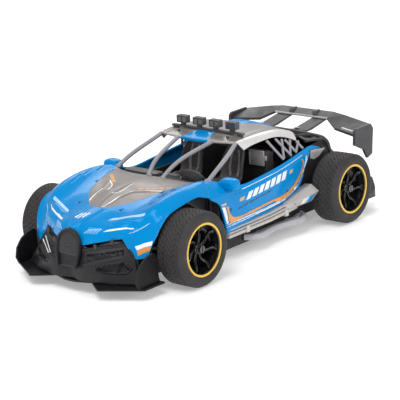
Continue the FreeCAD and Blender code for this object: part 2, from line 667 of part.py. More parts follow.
def horseshoe(half_width, low, high, scale):
    """Horseshoe outline in the xz plane: wide arch above, narrower foot below."""
    middle = (low + high) / 2
    points = [(half_width * 0.8, low)]
    points.append((half_width, middle - 2))
    for step in range(7):
        angle = math.radians(10 + 80 * step / 6)
        points.append((half_width * math.cos(angle), middle + 4 + (high - middle - 4) * math.sin(angle)))
    right = [(x * scale, middle + (z - middle) * scale) for x, z in points]
    return right + [(-x, z) for x, z in reversed(right[:-1])]


GRILLE_TILT = 11.0


def tilted(shape):
    """Lean the grille back about its foot."""
    shape.rotate(vec((0, -178, 22)), vec((1, 0, 0)), -GRILLE_TILT)
    return shape


def grille_ring():
    outer = prism(horseshoe(13.5, 21.5, 56.5, 1.0), "xz", -181.0, -177.4)
    hole = prism(horseshoe(13.5, 21.5, 56.5, 0.86), "xz", -190, -170)
    return tilted(outer.cut(hole))


def grille_mesh():
    return tilted(prism(horseshoe(13.5, 21.5, 56.5, 0.85), "xz", -178.6, -177.5))


# ------------------------------------------------------------------ side, rear and wing
SKIRT_OUTLINE = [(-39, 22), (-39, 31), (23, 31.6), (55, 35), (70, 38), (84, 42), (88.5, 42.5), (88.5, 28.5),
                 (77, 25), (54, 24), (38, 22.4)]
SKIRT_PLAN = [(60, -40), (69.5, -37), (69.5, 50), (79, 86), (79, 88.5), (60, 88.5)]


def side_skirt():
    """Ribbed sill below the door, flaring into a winglet ahead of the rear wheel."""
    sill = prism(SKIRT_OUTLINE, "yz", 60.4, 79.0)
    haunch_recess = box((60, 61.4), (78, 90), (32, 46))
    return sill.common(prism(SKIRT_PLAN, "xy", 0, 60)).cut(haunch_recess)


STEP_BAR_Z = 14.0
STEP_BAR_R = 2.4
SILL_X = 60.3            # outer face of the chassis tub, plus a little room
STEP_BAR_PATH = [(59, -6), (70, 1), (70.8, 12), (67.5, 28), (68.3, 41), (72, 54.5), (72.5, 68), (69, 76.5),
                 (59, 84.5)]


def step_bar():
    """Bent bar beside the sill, on two short brackets."""
    pieces = [bent_bar([(x, y, STEP_BAR_Z) for x, y in STEP_BAR_PATH], STEP_BAR_R)]
    pieces += [box((SILL_X, 71), (y - 3, y + 3), (STEP_BAR_Z - 1.2, STEP_BAR_Z + 1.2)) for y in (14, 60)]
    trim = box((SILL_X, 90), (-40, 100), (0, 30))
    return fuse(pieces).common(trim)


def rear_fascia():
    """Upright panel that closes the tail."""
    rows = [full_width([(0, 153.5, 72.5), (25, 153.4, 71.5), (46, 152.6, 62), (54, 151.4, 58.5)]),
            full_width([(0, 157, 54), (25, 157, 53), (46, 156, 49), (55, 154, 47)]),
            full_width([(0, 156, 34), (25, 156, 34), (46, 155, 34), (54, 154, 34)])]
    return skin(rows, -1.8)


def rear_diffuser():
    """Floor of the tail with upright vanes and a corner plate behind each rear wheel."""
    plate = prism([(52, 150.4), (54, 160), (78, 162), (79, 185), (-79, 185), (-78, 162), (-54, 160),
                   (-52, 150.4)], "xy", 9.5, 12.0)
    pieces = [plate]
    for x in (-40, -20, 0, 20, 40):
        rib = [(160, 11), (184.5, 11), (184.5, 24), (170, 28), (160, 28)]
        pieces.append(prism(rib, "yz", x - 0.8, x + 0.8))
    for side in (-1, 1):
        pieces.append(prism([(162, 11), (185, 11), (185, 20), (180, 31), (170, 28)], "yz",
                            *sorted((side * 77.2, side * 79))))
    pieces.append(box((-54, 54), (158.4, 160.4), (11, 33)))
    return fuse(pieces)


WING_STEP_X = 32.3
WING_STATIONS = [
    [(31.5, 172, 84.8), (31.5, 171.8, 87), (31.5, 184.6, 90.4), (31.5, 184.8, 88.4)],
    [(46, 164.5, 77.5), (46, 164, 80), (46, 184, 88.6), (46, 184.2, 86.4)],
    [(74.6, 156, 75.5), (74.6, 155.5, 78.5), (74.6, 183, 83.6), (74.6, 183.2, 81.4)],
]


def wing_blade():
    """Raised centre section with lower outer sections on each side."""
    side_view = [(171.8, 85.2), (172.2, 87), (184.6, 90.5), (184.8, 88.6)]
    centre = prism(side_view, "yz", -WING_STEP_X, WING_STEP_X)
    pieces = [centre]
    outer = ring_loft(WING_STATIONS)
    pieces += [outer, mirrored(outer)]
    fins = [box((x - 0.6, x + 0.6), (173, 184), (86.5, 91.5)) for x in (-14, 14)]
    return fuse(pieces + fins)


END_PLATE_OUTLINE = [(153, 81.5), (156, 84), (181, 84.4), (185, 79), (184, 70), (183, 54), (174.5, 51),
                     (168, 61), (152, 68.5)]


def wing_end_plate():
    return prism(END_PLATE_OUTLINE, "yz", 75.0, 77.6)


STRUT_XS = (-21.0, 21.0)
STRUT_HALF_W = 8.0
STRUT_SCREW_Y = 135.5


def wing_strut(x):
    """Flat leaning strut with a foot on the deck."""
    side_view = [(131, 80.6), (131, 82.4), (141, 80.4), (172.5, 85.2), (176, 86), (177, 84.2), (150, 79),
                 (141, 78.9)]
    strut = prism(side_view, "yz", x - STRUT_HALF_W, x + STRUT_HALF_W)
    return strut.cut(rod((x, STRUT_SCREW_Y, 60), (x, STRUT_SCREW_Y, 100), 1.6))


def screw(x, y, z, radius):
    """Pan head screw seen from above."""
    head = rod((x, y, z), (x, y, z + 1.4), radius)
    return head.cut(box((x - radius, x + radius), (y - 0.35, y + 0.35), (z + 0.7, z + 2)))


def chassis_screw(x, y):
    """Screw head sunk flush into the floor."""
    head = rod((x, y, PAN_Z[0]), (x, y, PAN_Z[0] + SCREW_SINK), SCREW_HEAD_R)
    return head.cut(box((x - 2, x + 2), (y - 0.35, y + 0.35), (PAN_Z[0] - 1, PAN_Z[0] + 0.6)))


def chassis_screw_hole(x, y):
    return rod((x, y, PAN_Z[0] - 1), (x, y, PAN_Z[0] + SCREW_SINK), SCREW_HEAD_R)


# ------------------------------------------------------------------ assembly
def build():
    nodes = {}
    ring = grille_ring()
    mesh = grille_mesh()
    bonnet = bonnet_panel()
    shell = main_solid(front_shell().cut(ring).cut(mesh))
    roof = skin(lines_to_net(ROOF_LINES), SKIN)
    rail = skin(RAIL_ROWS, SKIN)
    door = door_panel()
    haunch = rear_haunch()
    deck = skin(lines_to_net(DECK_LINES), SKIN)
    bumper = main_solid(front_bumper().cut(ring).cut(mesh).cut(shell))
    splitter = main_solid(front_splitter().cut(shell))
    scoop = main_solid(roof_scoop().cut(roof).cut(deck))
    mirror = main_solid(mirror_pod().cut(door))
    deck = main_solid(deck.cut(haunch).cut(mirrored(haunch)).cut(rail).cut(mirrored(rail)))
    fascia = main_solid(rear_fascia().cut(haunch).cut(mirrored(haunch)).cut(deck))
    blade = wing_blade()
    struts = [main_solid(wing_strut(x).cut(blade).cut(deck)) for x in STRUT_XS]
    outer_pillar = main_solid(pillar_outer().cut(shell).cut(bonnet).cut(roof).cut(rail))
    inner_pillar = main_solid(pillar_inner().cut(bonnet).cut(roof))
    net = main_solid(window_net().cut(rail).cut(door))
    skirt = main_solid(side_skirt().cut(door))
    bar = light_bar().cut(roof)

    nodes["front_shell"] = shell
    nodes["bonnet_panel"] = bonnet
    nodes["roof_panel"] = roof
    nodes["roof_side_rails"] = group([rail, mirrored(rail)])
    nodes["roof_scoop"] = scoop
    nodes["left_door_panel"] = door
    nodes["right_door_panel"] = mirrored(door)
    nodes["door_mirrors"] = group([mirror, mirrored(mirror)])
    nodes["rear_bodywork"] = group([haunch, mirrored(haunch), fascia])
    nodes["rear_deck"] = deck
    nodes["rear_diffuser"] = rear_diffuser()
    nodes["front_bumper"] = bumper
    nodes["front_grille"] = group([ring, mesh])
    nodes["front_splitter"] = splitter
    nodes["side_skirts"] = group([skirt, mirrored(skirt)])
    nodes["step_bars"] = group([step_bar(), mirrored(step_bar())])
    nodes["cage_pillars"] = group([outer_pillar, mirrored(outer_pillar),
                                   inner_pillar, mirrored(inner_pillar)])
    nodes["window_nets"] = group([net, mirrored(net)])
    nodes["light_bar"] = bar
    nodes["roof_lamps"] = group([roof_lamp(x) for x in LAMP_XS])
    nodes["lamp_lenses"] = group([lamp_lens(x, side) for x in LAMP_XS for side in (-1, 1)])
    nodes["wing_blade"] = blade
    nodes["wing_end_plates"] = group([wing_end_plate(), mirrored(wing_end_plate())])
    nodes["wing_struts"] = group(struts)
    nodes["body_screws"] = group([screw(x, STRUT_SCREW_Y, 82.2, 2.6) for x in STRUT_XS]
                                 + [chassis_screw(x, y) for x, y in CHASSIS_SCREWS])

    nodes["chassis_pan"] = chassis_pan()
    nodes["battery_door"] = battery_door()
    nodes["battery_pack"] = battery_pack()
    nodes["receiver_board"] = receiver_board()
    nodes["switch_housing"] = switch_housing()
    nodes["power_switch"] = power_switch()
    nodes["cabin_tray"] = cabin_tray()
    nodes["bucket_seats"] = group([seat(24), seat(-24)])
    nodes["dashboard"] = dashboard()
    nodes["steering_wheel"] = main_solid(steering_wheel().cut(nodes["dashboard"]))
    nodes["cabin_bulkhead"] = cabin_bulkhead()

    nodes["front_axle_carrier"] = front_axle_carrier()
    nodes["kingpins"] = group([kingpin(), mirrored(kingpin())])
    nodes["left_knuckle"] = knuckle()
    nodes["right_knuckle"] = mirrored(knuckle())
    nodes["tie_rod"] = tie_rod()
    nodes["steering_motor"] = steering_motor()
    nodes["servo_horn"] = servo_horn()

    nodes["drive_motor"] = drive_motor()
    nodes["motor_pinion"] = motor_pinion()
    nodes["rear_axle"] = rear_axle().fuse(gear(SPUR_TEETH, REAR_Y, AXLE_Z, SHAFT_R, 0.0))
    nodes["gearbox_case"] = gearbox_case()
    nodes["rear_bearings"] = group([bearing(-1), bearing(1)])
    nodes["rear_axle_carrier"] = rear_axle_carrier()

    corners = (("front_left", FRONT_Y, False), ("front_right", FRONT_Y, True),
               ("rear_left", REAR_Y, False), ("rear_right", REAR_Y, True))
    for name, y, other_side in corners:
        bore = SHAFT_R + (RUNNING_GAP if y == FRONT_Y else 0.01)
        pieces = {"tyre": tyre(y), "rim": group([rim(y, bore), rim_ring(y)])}
        for piece, shape in pieces.items():
            nodes[name + "_" + piece] = mirrored(shape) if other_side else shape
    nodes["front_left_hub_screw"] = hub_screw(FRONT_Y)
    nodes["front_right_hub_screw"] = mirrored(hub_screw(FRONT_Y))
    nodes["rear_hub_screws"] = group([hub_screw(REAR_Y), mirrored(hub_screw(REAR_Y))])
    return nodes


os.makedirs("parts", exist_ok=True)
for node_name, node_shape in build().items():
    node_shape.exportStep("parts/" + node_name + ".step")
    print(node_name, round(node_shape.Volume, 1), node_shape.isValid(), len(node_shape.Solids))
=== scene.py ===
import math

import bpy
import numpy as np
from mathutils import Matrix, Vector
from mathutils.bvhtree import BVHTree


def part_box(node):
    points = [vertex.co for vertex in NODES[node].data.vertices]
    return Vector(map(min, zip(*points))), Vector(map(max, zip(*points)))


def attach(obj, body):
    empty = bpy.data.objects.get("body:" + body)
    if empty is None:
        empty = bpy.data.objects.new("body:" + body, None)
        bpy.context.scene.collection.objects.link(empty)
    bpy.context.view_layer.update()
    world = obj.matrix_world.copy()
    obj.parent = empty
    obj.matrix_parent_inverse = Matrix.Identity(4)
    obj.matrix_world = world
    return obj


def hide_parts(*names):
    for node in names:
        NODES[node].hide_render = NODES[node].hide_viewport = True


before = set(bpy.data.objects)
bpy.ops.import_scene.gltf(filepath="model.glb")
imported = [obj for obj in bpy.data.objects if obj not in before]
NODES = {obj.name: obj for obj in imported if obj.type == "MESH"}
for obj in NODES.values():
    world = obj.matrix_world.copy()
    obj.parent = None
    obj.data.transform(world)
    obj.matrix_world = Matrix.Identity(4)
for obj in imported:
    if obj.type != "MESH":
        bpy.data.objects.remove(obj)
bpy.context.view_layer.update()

# Points are in millimetres in the row frame: nose towards -Y, +X is the car's left, the ground is at Z 0.
MM = 0.001

# Read from the frame.
WHEEL_LOW, WHEEL_HIGH = [np.array(corner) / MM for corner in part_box("front_left_tyre")]
WHEEL_CENTRE = (WHEEL_LOW + WHEEL_HIGH) / 2
REAR_WHEEL_CENTRE = sum(np.array(corner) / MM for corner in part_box("rear_left_tyre")) / 2
TYRE_R = (WHEEL_HIGH[2] - WHEEL_LOW[2]) / 2

CABIN_FLOOR_Z = 46.0      # top of the cabin tray
WALL = 1.5                # thickness of the moulded panels
PANEL_GAP = 0.25          # between the bonnet and the wings


# ------------------------------------------------------------------ curves and surfaces
def natural_weights(knots, params):
    """Weights that turn the values at the knots of a natural cubic spline into values at the params."""
    count = len(knots)
    gap = np.diff(knots)
    system = np.eye(count)
    rise = np.zeros((count, count))
    for i in range(1, count - 1):
        system[i, i - 1:i + 2] = gap[i - 1], 2 * (gap[i - 1] + gap[i]), gap[i]
        rise[i, i - 1:i + 2] = 6 / gap[i - 1], -6 / gap[i - 1] - 6 / gap[i], 6 / gap[i]
    bend = np.linalg.solve(system, rise)
    params = np.asarray(params, float)
    span = np.clip(np.searchsorted(knots, params) - 1, 0, count - 2)
    width = gap[span][:, None]
    after = (params - knots[span])[:, None]
    before = width - after
    unit = np.eye(count)
    straight = before / width * unit[span] + after / width * unit[span + 1]
    curved = (before**3 / width - before * width) * bend[span]
    curved += (after**3 / width - after * width) * bend[span + 1]
    return straight + curved / 6


def chord_knots(net):
    """Mean distance along the first direction of a net, from 0 to 1."""
    steps = np.linalg.norm(np.diff(net, axis=0), axis=2).mean(axis=1)
    return np.concatenate([[0], np.cumsum(steps)]) / steps.sum()


def straight_weights(knots, params):
    """Weights that join the values at the knots with straight lines."""
    params = np.asarray(params, float)
    span = np.clip(np.searchsorted(knots, params) - 1, 0, len(knots) - 2)
    share = ((params - knots[span]) / (knots[span + 1] - knots[span]))[:, None]
    unit = np.eye(len(knots))
    return (1 - share) * unit[span] + share * unit[span + 1]


class Surface:
    """Smooth surface through a net of points."""

    def __init__(self, net):
        self.net = np.array(net, float)
        self.rows = chord_knots(self.net)
        self.cols = chord_knots(self.net.transpose(1, 0, 2))

    def grid(self, u, v, crease=None):
        """Points for every u and, in each row, either the shared v or that row's own v.

        crease tells per row how far the curve across gives way to straight lines (0 to 1).
        """
        lines = np.tensordot(natural_weights(self.rows, u), self.net, axes=(1, 0))
        v = np.asarray(v, float)
        crease = np.zeros(len(lines)) if crease is None else crease
        result = []
        for number, line in enumerate(lines):
            row = v if v.ndim == 1 else v[number]
            share = crease[number]
            weights = (1 - share) * natural_weights(self.cols, row) + share * straight_weights(self.cols, row)
            result.append(weights @ line)
        return np.array(result)

    def even_grid(self, rows, cols):
        """The whole surface in evenly spread rows and columns."""
        return self.grid(np.linspace(0, 1, rows), np.linspace(0, 1, cols))


def full_width(half_row):
    """A row of points from the centre outwards, continued to the other side."""
    return [(-x, y, z) for x, y, z in reversed(half_row[1:])] + list(half_row)


def lines_to_net(lines):
    """Net of rows across the car from long lines along one half of it."""
    return [full_width([line[station] for line in lines]) for station in range(len(lines[0]))]


def reach_along(points):
    """Distance along a polyline from its start to each of its points."""
    return np.concatenate([[0], np.cumsum(np.linalg.norm(np.diff(points, axis=0), axis=1))])


def smooth_line(points, count):
    """Points evenly spread along a natural spline through the given ones."""
    points = np.array(points, float)
    knots = reach_along(points)
    dense = natural_weights(knots / knots[-1], np.linspace(0, 1, 8 * count)) @ points
    return resampled(dense, count)


def resampled(points, count):
    """The same polyline with evenly spread points."""
    points = np.array(points, float)
    reach = reach_along(points)
    targets = np.linspace(0, reach[-1], count)
    return np.stack([np.interp(targets, reach, points[:, axis]) for axis in range(points.shape[1])], axis=1)


def normals_of(grid):
    """Unit normals of a grid of points."""
    normal = np.cross(np.gradient(grid, axis=0), np.gradient(grid, axis=1))
    return normal / np.maximum(np.linalg.norm(normal, axis=2, keepdims=True), 1e-9)


def smooth_step(value, low, high):
    """Smooth rise from 0 at the low value to 1 at the high one."""
    share = np.clip((value - low) / (high - low), 0, 1)
    return share * share * (3 - 2 * share)


def distance_to_line(points, line):
    """Distance in the plane from each point to a polyline."""
    best = np.full(points.shape[:-1], 1e9)
    line = np.array(line, float)
    for start, end in zip(line, line[1:]):
        along = end - start
        share = np.clip(((points - start) @ along) / (along @ along), 0, 1)
        best = np.minimum(best, np.linalg.norm(points - start - share[..., None] * along, axis=-1))
    return best


def inside_distance(points, outline):
    """Distance to a closed outline: positive inside it, negative outside."""
    outline = np.array(outline, float)
    closed = np.vstack([outline, outline[:1]])
    inside = np.zeros(points.shape[:-1], bool)
    x, y = points[..., 0], points[..., 1]
    for (x0, y0), (x1, y1) in zip(closed, closed[1:]):
        crosses = (y0 > y) != (y1 > y)
        slope = (x1 - x0) / (y1 - y0) if y1 != y0 else 0.0
        inside ^= crosses & (x < x0 + (y - y0) * slope)
    distance = distance_to_line(points, closed)
    return np.where(inside, distance, -distance)


# ------------------------------------------------------------------ meshes
def grid_patch(grid, keep=None, wrap=False):
    """Points and faces of a grid.

    keep tells which cells stay, and wrap joins the last row to the first.
    """
    rows, cols = grid.shape[:2]
    faces = []
    for i in range(rows if wrap else rows - 1):
        below = (i + 1) % rows
        for j in range(cols - 1):
            if keep is None or keep[i, j]:
                faces.append((i * cols + j, i * cols + j + 1, below * cols + j + 1, below * cols + j))
    return grid.reshape(-1, 3), faces


def mirrored(patch):
    """The patch on the other side of the car."""
    points, faces = patch
    return points * [-1, 1, 1], [tuple(reversed(face)) for face in faces]


def joined(*patches):
    """Several patches as one."""
    points, faces, start = [], [], 0
    for patch_points, patch_faces in patches:
        points.append(patch_points)
        faces += [tuple(corner + start for corner in face) for face in patch_faces]
        start += len(patch_points)
    return np.vstack(points), faces


def both_sides(patch):
    """The patch and its mirror image."""
    return joined(patch, mirrored(patch))


def facing(patch, direction):
    """The patch with its faces turned so that they mostly look along the direction."""
    points, faces = patch
    corners = points[np.array([face[:3] for face in faces])]
    normal = np.cross(corners[:, 1] - corners[:, 0], corners[:, 2] - corners[:, 0]).sum(axis=0)
    if normal @ np.array(direction, float) < 0:
        faces = [tuple(reversed(face)) for face in faces]
    return points, faces


def tube_faces(count, around):
    """Faces of a tube of rings of points, with a flat cap at each end."""
    faces = []
    for i in range(count - 1):
        for j in range(around):
            after = (j + 1) % around
            faces.append((i * around + j, i * around + after, (i + 1) * around + after, (i + 1) * around + j))
    faces.append(tuple(reversed(range(around))))
    faces.append(tuple(range((count - 1) * around, count * around)))
    return faces


def sweep(path, section, scale=None, up=(0, 0, 1)):
    """Closed bar: a section carried along a path."""
    path = np.array(path, float)
    tangent = np.gradient(path, axis=0)
    tangent /= np.linalg.norm(tangent, axis=1, keepdims=True)
    side = np.cross(tangent, np.array(up, float))
    side /= np.linalg.norm(side, axis=1, keepdims=True)
    top = np.cross(side, tangent)
    scale = np.ones(len(path)) if scale is None else np.asarray(scale, float)
    section = np.array(section, float)
    rings = path[:, None] + scale[:, None, None] * (
        section[None, :, :1] * side[:, None] + section[None, :, 1:] * top[:, None])
    return rings.reshape(-1, 3), tube_faces(len(path), len(section))


def circle(radius, count=16):
    """Section of a round bar."""
    return [(radius * math.cos(2 * math.pi * k / count), radius * math.sin(2 * math.pi * k / count))
            for k in range(count)]


def rounded_box(half_x, half_y, corner, per_corner=4):
    """Section of a bar with rounded corners."""
    points = []
    for number, (sx, sy) in enumerate(((1, 1), (-1, 1), (-1, -1), (1, -1))):
        for step in range(per_corner + 1):
            angle = math.pi / 2 * (number + step / per_corner)
            points.append((sx * (half_x - corner) + corner * math.cos(angle),
                           sy * (half_y - corner) + corner * math.sin(angle)))
    return points


def round_wheel(centre, x, radius, angles):
    """Grid of points round a wheel's axis, one row per angle from straight up."""
    radius = np.broadcast_to(radius, (len(angles), np.shape(radius)[-1]))
    grid = np.empty((*radius.shape, 3))
    grid[..., 0] = x
    grid[..., 1] = centre[1] + radius * np.sin(angles)[:, None]
    grid[..., 2] = centre[2] + radius * np.cos(angles)[:, None]
    return grid


def revolved(profile, centre, steps, displace=None):
    """Surface of a profile of (offset along X, radius) turned about the wheel's axis."""
    profile = np.array(profile, float)
    angles = np.linspace(0, 2 * math.pi, steps, endpoint=False)
    radius = np.broadcast_to(profile[:, 1], (steps, len(profile))).copy()
    if displace is not None:
        radius += displace(angles[:, None], profile[None, :, 0])
    return grid_patch(round_wheel(centre, centre[0] + profile[:, 0], radius, angles), wrap=True)


def piece(name, patch, material, body="chassis", replaces=(), sharp=None):
    """New object of the car, riding on a body."""
    points, faces = patch
    mesh = bpy.data.meshes.new(name)
    mesh.from_pydata((points * MM).tolist(), [], faces)
    mesh.shade_smooth()
    if sharp:
        mesh.set_sharp_from_angle(angle=math.radians(sharp))
    made = bpy.data.objects.new(name, mesh)
    bpy.context.scene.collection.objects.link(made)
    mesh.materials.append(material)
    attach(made, body)
    if replaces:
        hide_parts(*replaces)
    return made


def thicken(made, depth=WALL, edge=0.3):
    """Give a panel its wall and soft edges."""
    wall = made.modifiers.new("wall", "SOLIDIFY")
    wall.thickness = depth * MM
    wall.offset = -1
    soften(made, edge, 50)


def soften(made, edge, angle=35, segments=2):
    """Round the edges that turn by more than the angle."""
    bevel = made.modifiers.new("edges", "BEVEL")
    bevel.width = edge * MM
    bevel.segments = segments
    bevel.limit_method = "ANGLE"
    bevel.angle_limit = math.radians(angle)


def keep_cad(node, material, edge):
    """Show a CAD node as it is, with softened edges and a proper finish."""
    made = NODES[node]
    weld = made.modifiers.new("weld", "WELD")
    weld.merge_threshold = 0.005 * MM
    soften(made, edge, 30, 3)
    normals = made.modifiers.new("normals", "WEIGHTED_NORMAL")
    normals.keep_sharp = False
    made.data.materials.clear()
    made.data.materials.append(material)
    for face in made.data.polygons:
        face.material_index = 0


def tree_of(patch):
    """Search tree over a patch, for laying other pieces on it."""
    points, faces = patch
    return BVHTree.FromPolygons(points.tolist(), faces)


def between(first, second, rows, cols):
    """Grid between two lines."""
    first, second = resampled(first, rows), resampled(second, rows)
    share = np.linspace(0, 1, cols)[None, :, None]
    return first[:, None] * (1 - share) + second[:, None] * share


def laid_on(tree, grid, lift):
    """The grid laid on the nearest places of a surface, lifted a little along its normals."""
    rows, cols = grid.shape[:2]
    placed = np.empty_like(grid)
    for i in range(rows):
        for j in range(cols):
            place, normal, _, _ = tree.find_nearest(Vector(grid[i, j]))
            placed[i, j] = np.array(place + normal * lift)
    return placed


PRINT_LIFT = 0.14         # of a print off its surface
PRINT_WALL, PRINT_EDGE = 0.3, 0.03


def print_between(tree, first, second, rows=24, cols=4, lift=PRINT_LIFT):
    """Printed shape between two edges, laid on a surface."""
    grid = laid_on(tree, between(first, second, rows, cols), lift)
    _, normal, _, _ = tree.find_nearest(Vector(grid[rows // 2, cols // 2]))
    return facing(grid_patch(grid), normal)


def print_line(tree, line, width, rows=40, across=(0, 0, 1), lift=PRINT_LIFT):
    """Printed stripe of a given width along a line.

    across is the rough direction off the surface.
    """
    line = smooth_line(line, rows) if len(line) > 2 else resampled(line, rows)
    along = np.gradient(line, axis=0)
    side = np.cross(along, np.array(across, float))
    side *= width / 2 / np.linalg.norm(side, axis=1, keepdims=True)
    return print_between(tree, line - side, line + side, rows, 3, lift)


def printed(name, patch, material):
    """Visible piece as thin as a print."""
    thicken(piece(name, patch, material), PRINT_WALL, PRINT_EDGE)


def loft(rings):
    """Closed block through rings of points."""
    rings = np.array(rings, float)
    return outward((rings.reshape(-1, 3), tube_faces(*rings.shape[:2])))


def outward(patch):
    """A closed patch with its faces turned away from its middle on the whole."""
    points, faces = patch
    middle = points.mean(axis=0)
    total = 0.0
    for face in faces:
        corners = points[list(face)]
        normal = sum(np.cross(corners[i] - corners[0], corners[i + 1] - corners[0])
                     for i in range(1, len(face) - 1))
        total += normal @ (corners.mean(axis=0) - middle)
    return (points, faces) if total > 0 else (points, [tuple(reversed(face)) for face in faces])


def block(x, y, z):
    """Plain block from three (low, high) pairs, to be softened afterwards."""
    rings = [[(a, y[0], z[0]), (a, y[1], z[0]), (a, y[1], z[1]), (a, y[0], z[1])] for a in x]
    return loft(rings)


def disc(centre, normal, radius, depth, count=20):
    """Short round peg that looks along a normal."""
    normal = Vector(normal).normalized()
    turn = normal.to_track_quat("Z", "Y")
    rings = []
    for height in (-depth, 0.0):
        ring = [turn @ Vector((x, y, height)) for x, y in circle(radius, count)]
        rings.append([tuple(np.array(centre) + np.array(place)) for place in ring])
    return loft(rings)


# ------------------------------------------------------------------ materials
def node_of(tree, kind, **inputs):
    """New node with some of its inputs set."""
    made = tree.nodes.new(kind)
    for name, value in inputs.items():
        made.inputs[name.replace("_", " ")].default_value = value
    return made


def noise(tree, place, scale, detail=3.0):
    """Value of a noise texture that is fixed to the piece."""
    made = node_of(tree, "ShaderNodeTexNoise", Scale=scale, Detail=detail)
    tree.links.new(place.outputs["Object"], made.inputs["Vector"])
    return made.outputs["Fac"]


def ramp(tree, source, low, high, low_colour, high_colour):
    """Colour that goes from one to the other as the source goes from low to high."""
    made = tree.nodes.new("ShaderNodeValToRGB")
    made.color_ramp.elements[0].position = low
    made.color_ramp.elements[0].color = (*low_colour, 1)
    made.color_ramp.elements[1].position = high
    made.color_ramp.elements[1].color = (*high_colour, 1)
    tree.links.new(source, made.inputs["Fac"])
    return made.outputs["Color"]


def scaled(colour, factor):
    """The colour made paler or darker."""
    return tuple(min(1.0, channel * factor) for channel in colour)


def finish(name, colour, roughness, grain=900.0, bump=0.05, variation=0.06, wear_and_highlight=0.25, worn_and_lit_colour=None,
           metallic=0.0, coat=0.0, specular=0.5, rough_spread=0.06, tint=(1, 1, 1)):
    """Procedural finish: mottled colour, uneven gloss, fine grain and paler edges, partly from rubbing and
    partly painted highlight.
    """
    material = bpy.data.materials.new(name)
    material.use_nodes = True
    tree = material.node_tree
    shader = tree.nodes["Principled BSDF"]
    place = tree.nodes.new("ShaderNodeTexCoord")
    cloudy = noise(tree, place, 45.0)
    body = ramp(tree, cloudy, 0.3, 0.7, scaled(colour, 1 - variation), scaled(colour, 1 + variation))
    edges = tree.nodes.new("ShaderNodeNewGeometry")
    # Paler colour on convex edges: partly rubbing, partly a painted highlight where edges would catch the
    # light.
    worn_and_lit_edge_share = ramp(tree, edges.outputs["Pointiness"], 0.53, 0.6, (0, 0, 0), (wear_and_highlight, wear_and_highlight, wear_and_highlight))
    mix = tree.nodes.new("ShaderNodeMix")
    mix.data_type = "RGBA"
    tree.links.new(worn_and_lit_edge_share, mix.inputs[0])
    tree.links.new(body, mix.inputs[6])
    mix.inputs[7].default_value = (*(worn_and_lit_colour or scaled(colour, 1.6)), 1)
    tree.links.new(mix.outputs[2], shader.inputs["Base Color"])
    gloss = ramp(tree, noise(tree, place, 120.0), 0.35, 0.65,
                 (roughness - rough_spread,) * 3, (roughness + rough_spread,) * 3)
    tree.links.new(gloss, shader.inputs["Roughness"])
    relief = node_of(tree, "ShaderNodeBump", Strength=bump, Distance=0.0004)
    tree.links.new(noise(tree, place, grain, 2.0), relief.inputs["Height"])
    tree.links.new(relief.outputs["Normal"], shader.inputs["Normal"])
    shader.inputs["Metallic"].default_value = metallic
    shader.inputs["Coat Weight"].default_value = coat
    shader.inputs["Coat Roughness"].default_value = 0.04
    shader.inputs["Specular IOR Level"].default_value = specular
    shader.inputs["Specular Tint"].default_value = (*tint, 1)
    return material


# Finishes that share their grain, their paler edges (rubbing and painted highlight) and gloss.
FRAME_LOOK = dict(grain=1200, bump=0.05, wear_and_highlight=0.25)
STEEL_LOOK = dict(grain=3000, bump=0.08, metallic=1.0)
PRINT_LOOK = dict(grain=900, bump=0.01, wear_and_highlight=0.0)

# The paler edge colours given below are partly rubbing and partly painted edge highlight.
BLUE = finish("gloss_blue_plastic", (0.0, 0.25, 0.62), 0.2, bump=0.01, variation=0.03, wear_and_highlight=0.5,
              worn_and_lit_colour=(0.05, 0.45, 0.95), coat=0.18, specular=0.12, tint=(0.0, 0.6, 1.0), rough_spread=0.03)
# Both silver finishes also colour thin bars that are painted highlights: the roof's lip and the wing's edge.
PALE_SILVER = finish("pale_silver_coat_and_painted_highlight", (0.72, 0.70, 0.685), 0.36, grain=2500, bump=0.03,
                     variation=0.03, wear_and_highlight=0.3, worn_and_lit_colour=(0.9, 0.9, 0.9), metallic=0.2, coat=0.2)
SILVER = finish("silver_coat_and_painted_highlight", (0.50, 0.475, 0.46), 0.32, grain=1500, bump=0.01, variation=0.03,
                wear_and_highlight=0.3, worn_and_lit_colour=(0.8, 0.78, 0.76), metallic=0.25, coat=0.2)
ROOF_GREY = finish("roof_grey_paint", (0.27, 0.245, 0.235), 0.34, grain=2500, bump=0.03, variation=0.05,
                   wear_and_highlight=0.5, worn_and_lit_colour=(0.62, 0.6, 0.6), metallic=0.3, coat=0.3)
WARM_GREY = finish("warm_grey_paint", (0.235, 0.205, 0.195), 0.42, grain=2500, bump=0.03, variation=0.04,
                   wear_and_highlight=0.3, worn_and_lit_colour=(0.45, 0.42, 0.4), metallic=0.15, coat=0.15, specular=0.4)
BLACK = finish("textured_black_plastic", (0.0145, 0.013, 0.0155), 0.45, grain=1500, bump=0.1,
               variation=0.12, wear_and_highlight=0.6, worn_and_lit_colour=(0.11, 0.105, 0.11), specular=0.35)
WING_GREY = finish("dark_wing_plastic", (0.055, 0.051, 0.055), 0.45, grain=1500, bump=0.1,
                   variation=0.08, wear_and_highlight=0.6, worn_and_lit_colour=(0.25, 0.24, 0.24), specular=0.35)
FRAME_GREY = finish("grey_frame_plastic", (0.31, 0.305, 0.335), 0.42, **FRAME_LOOK)
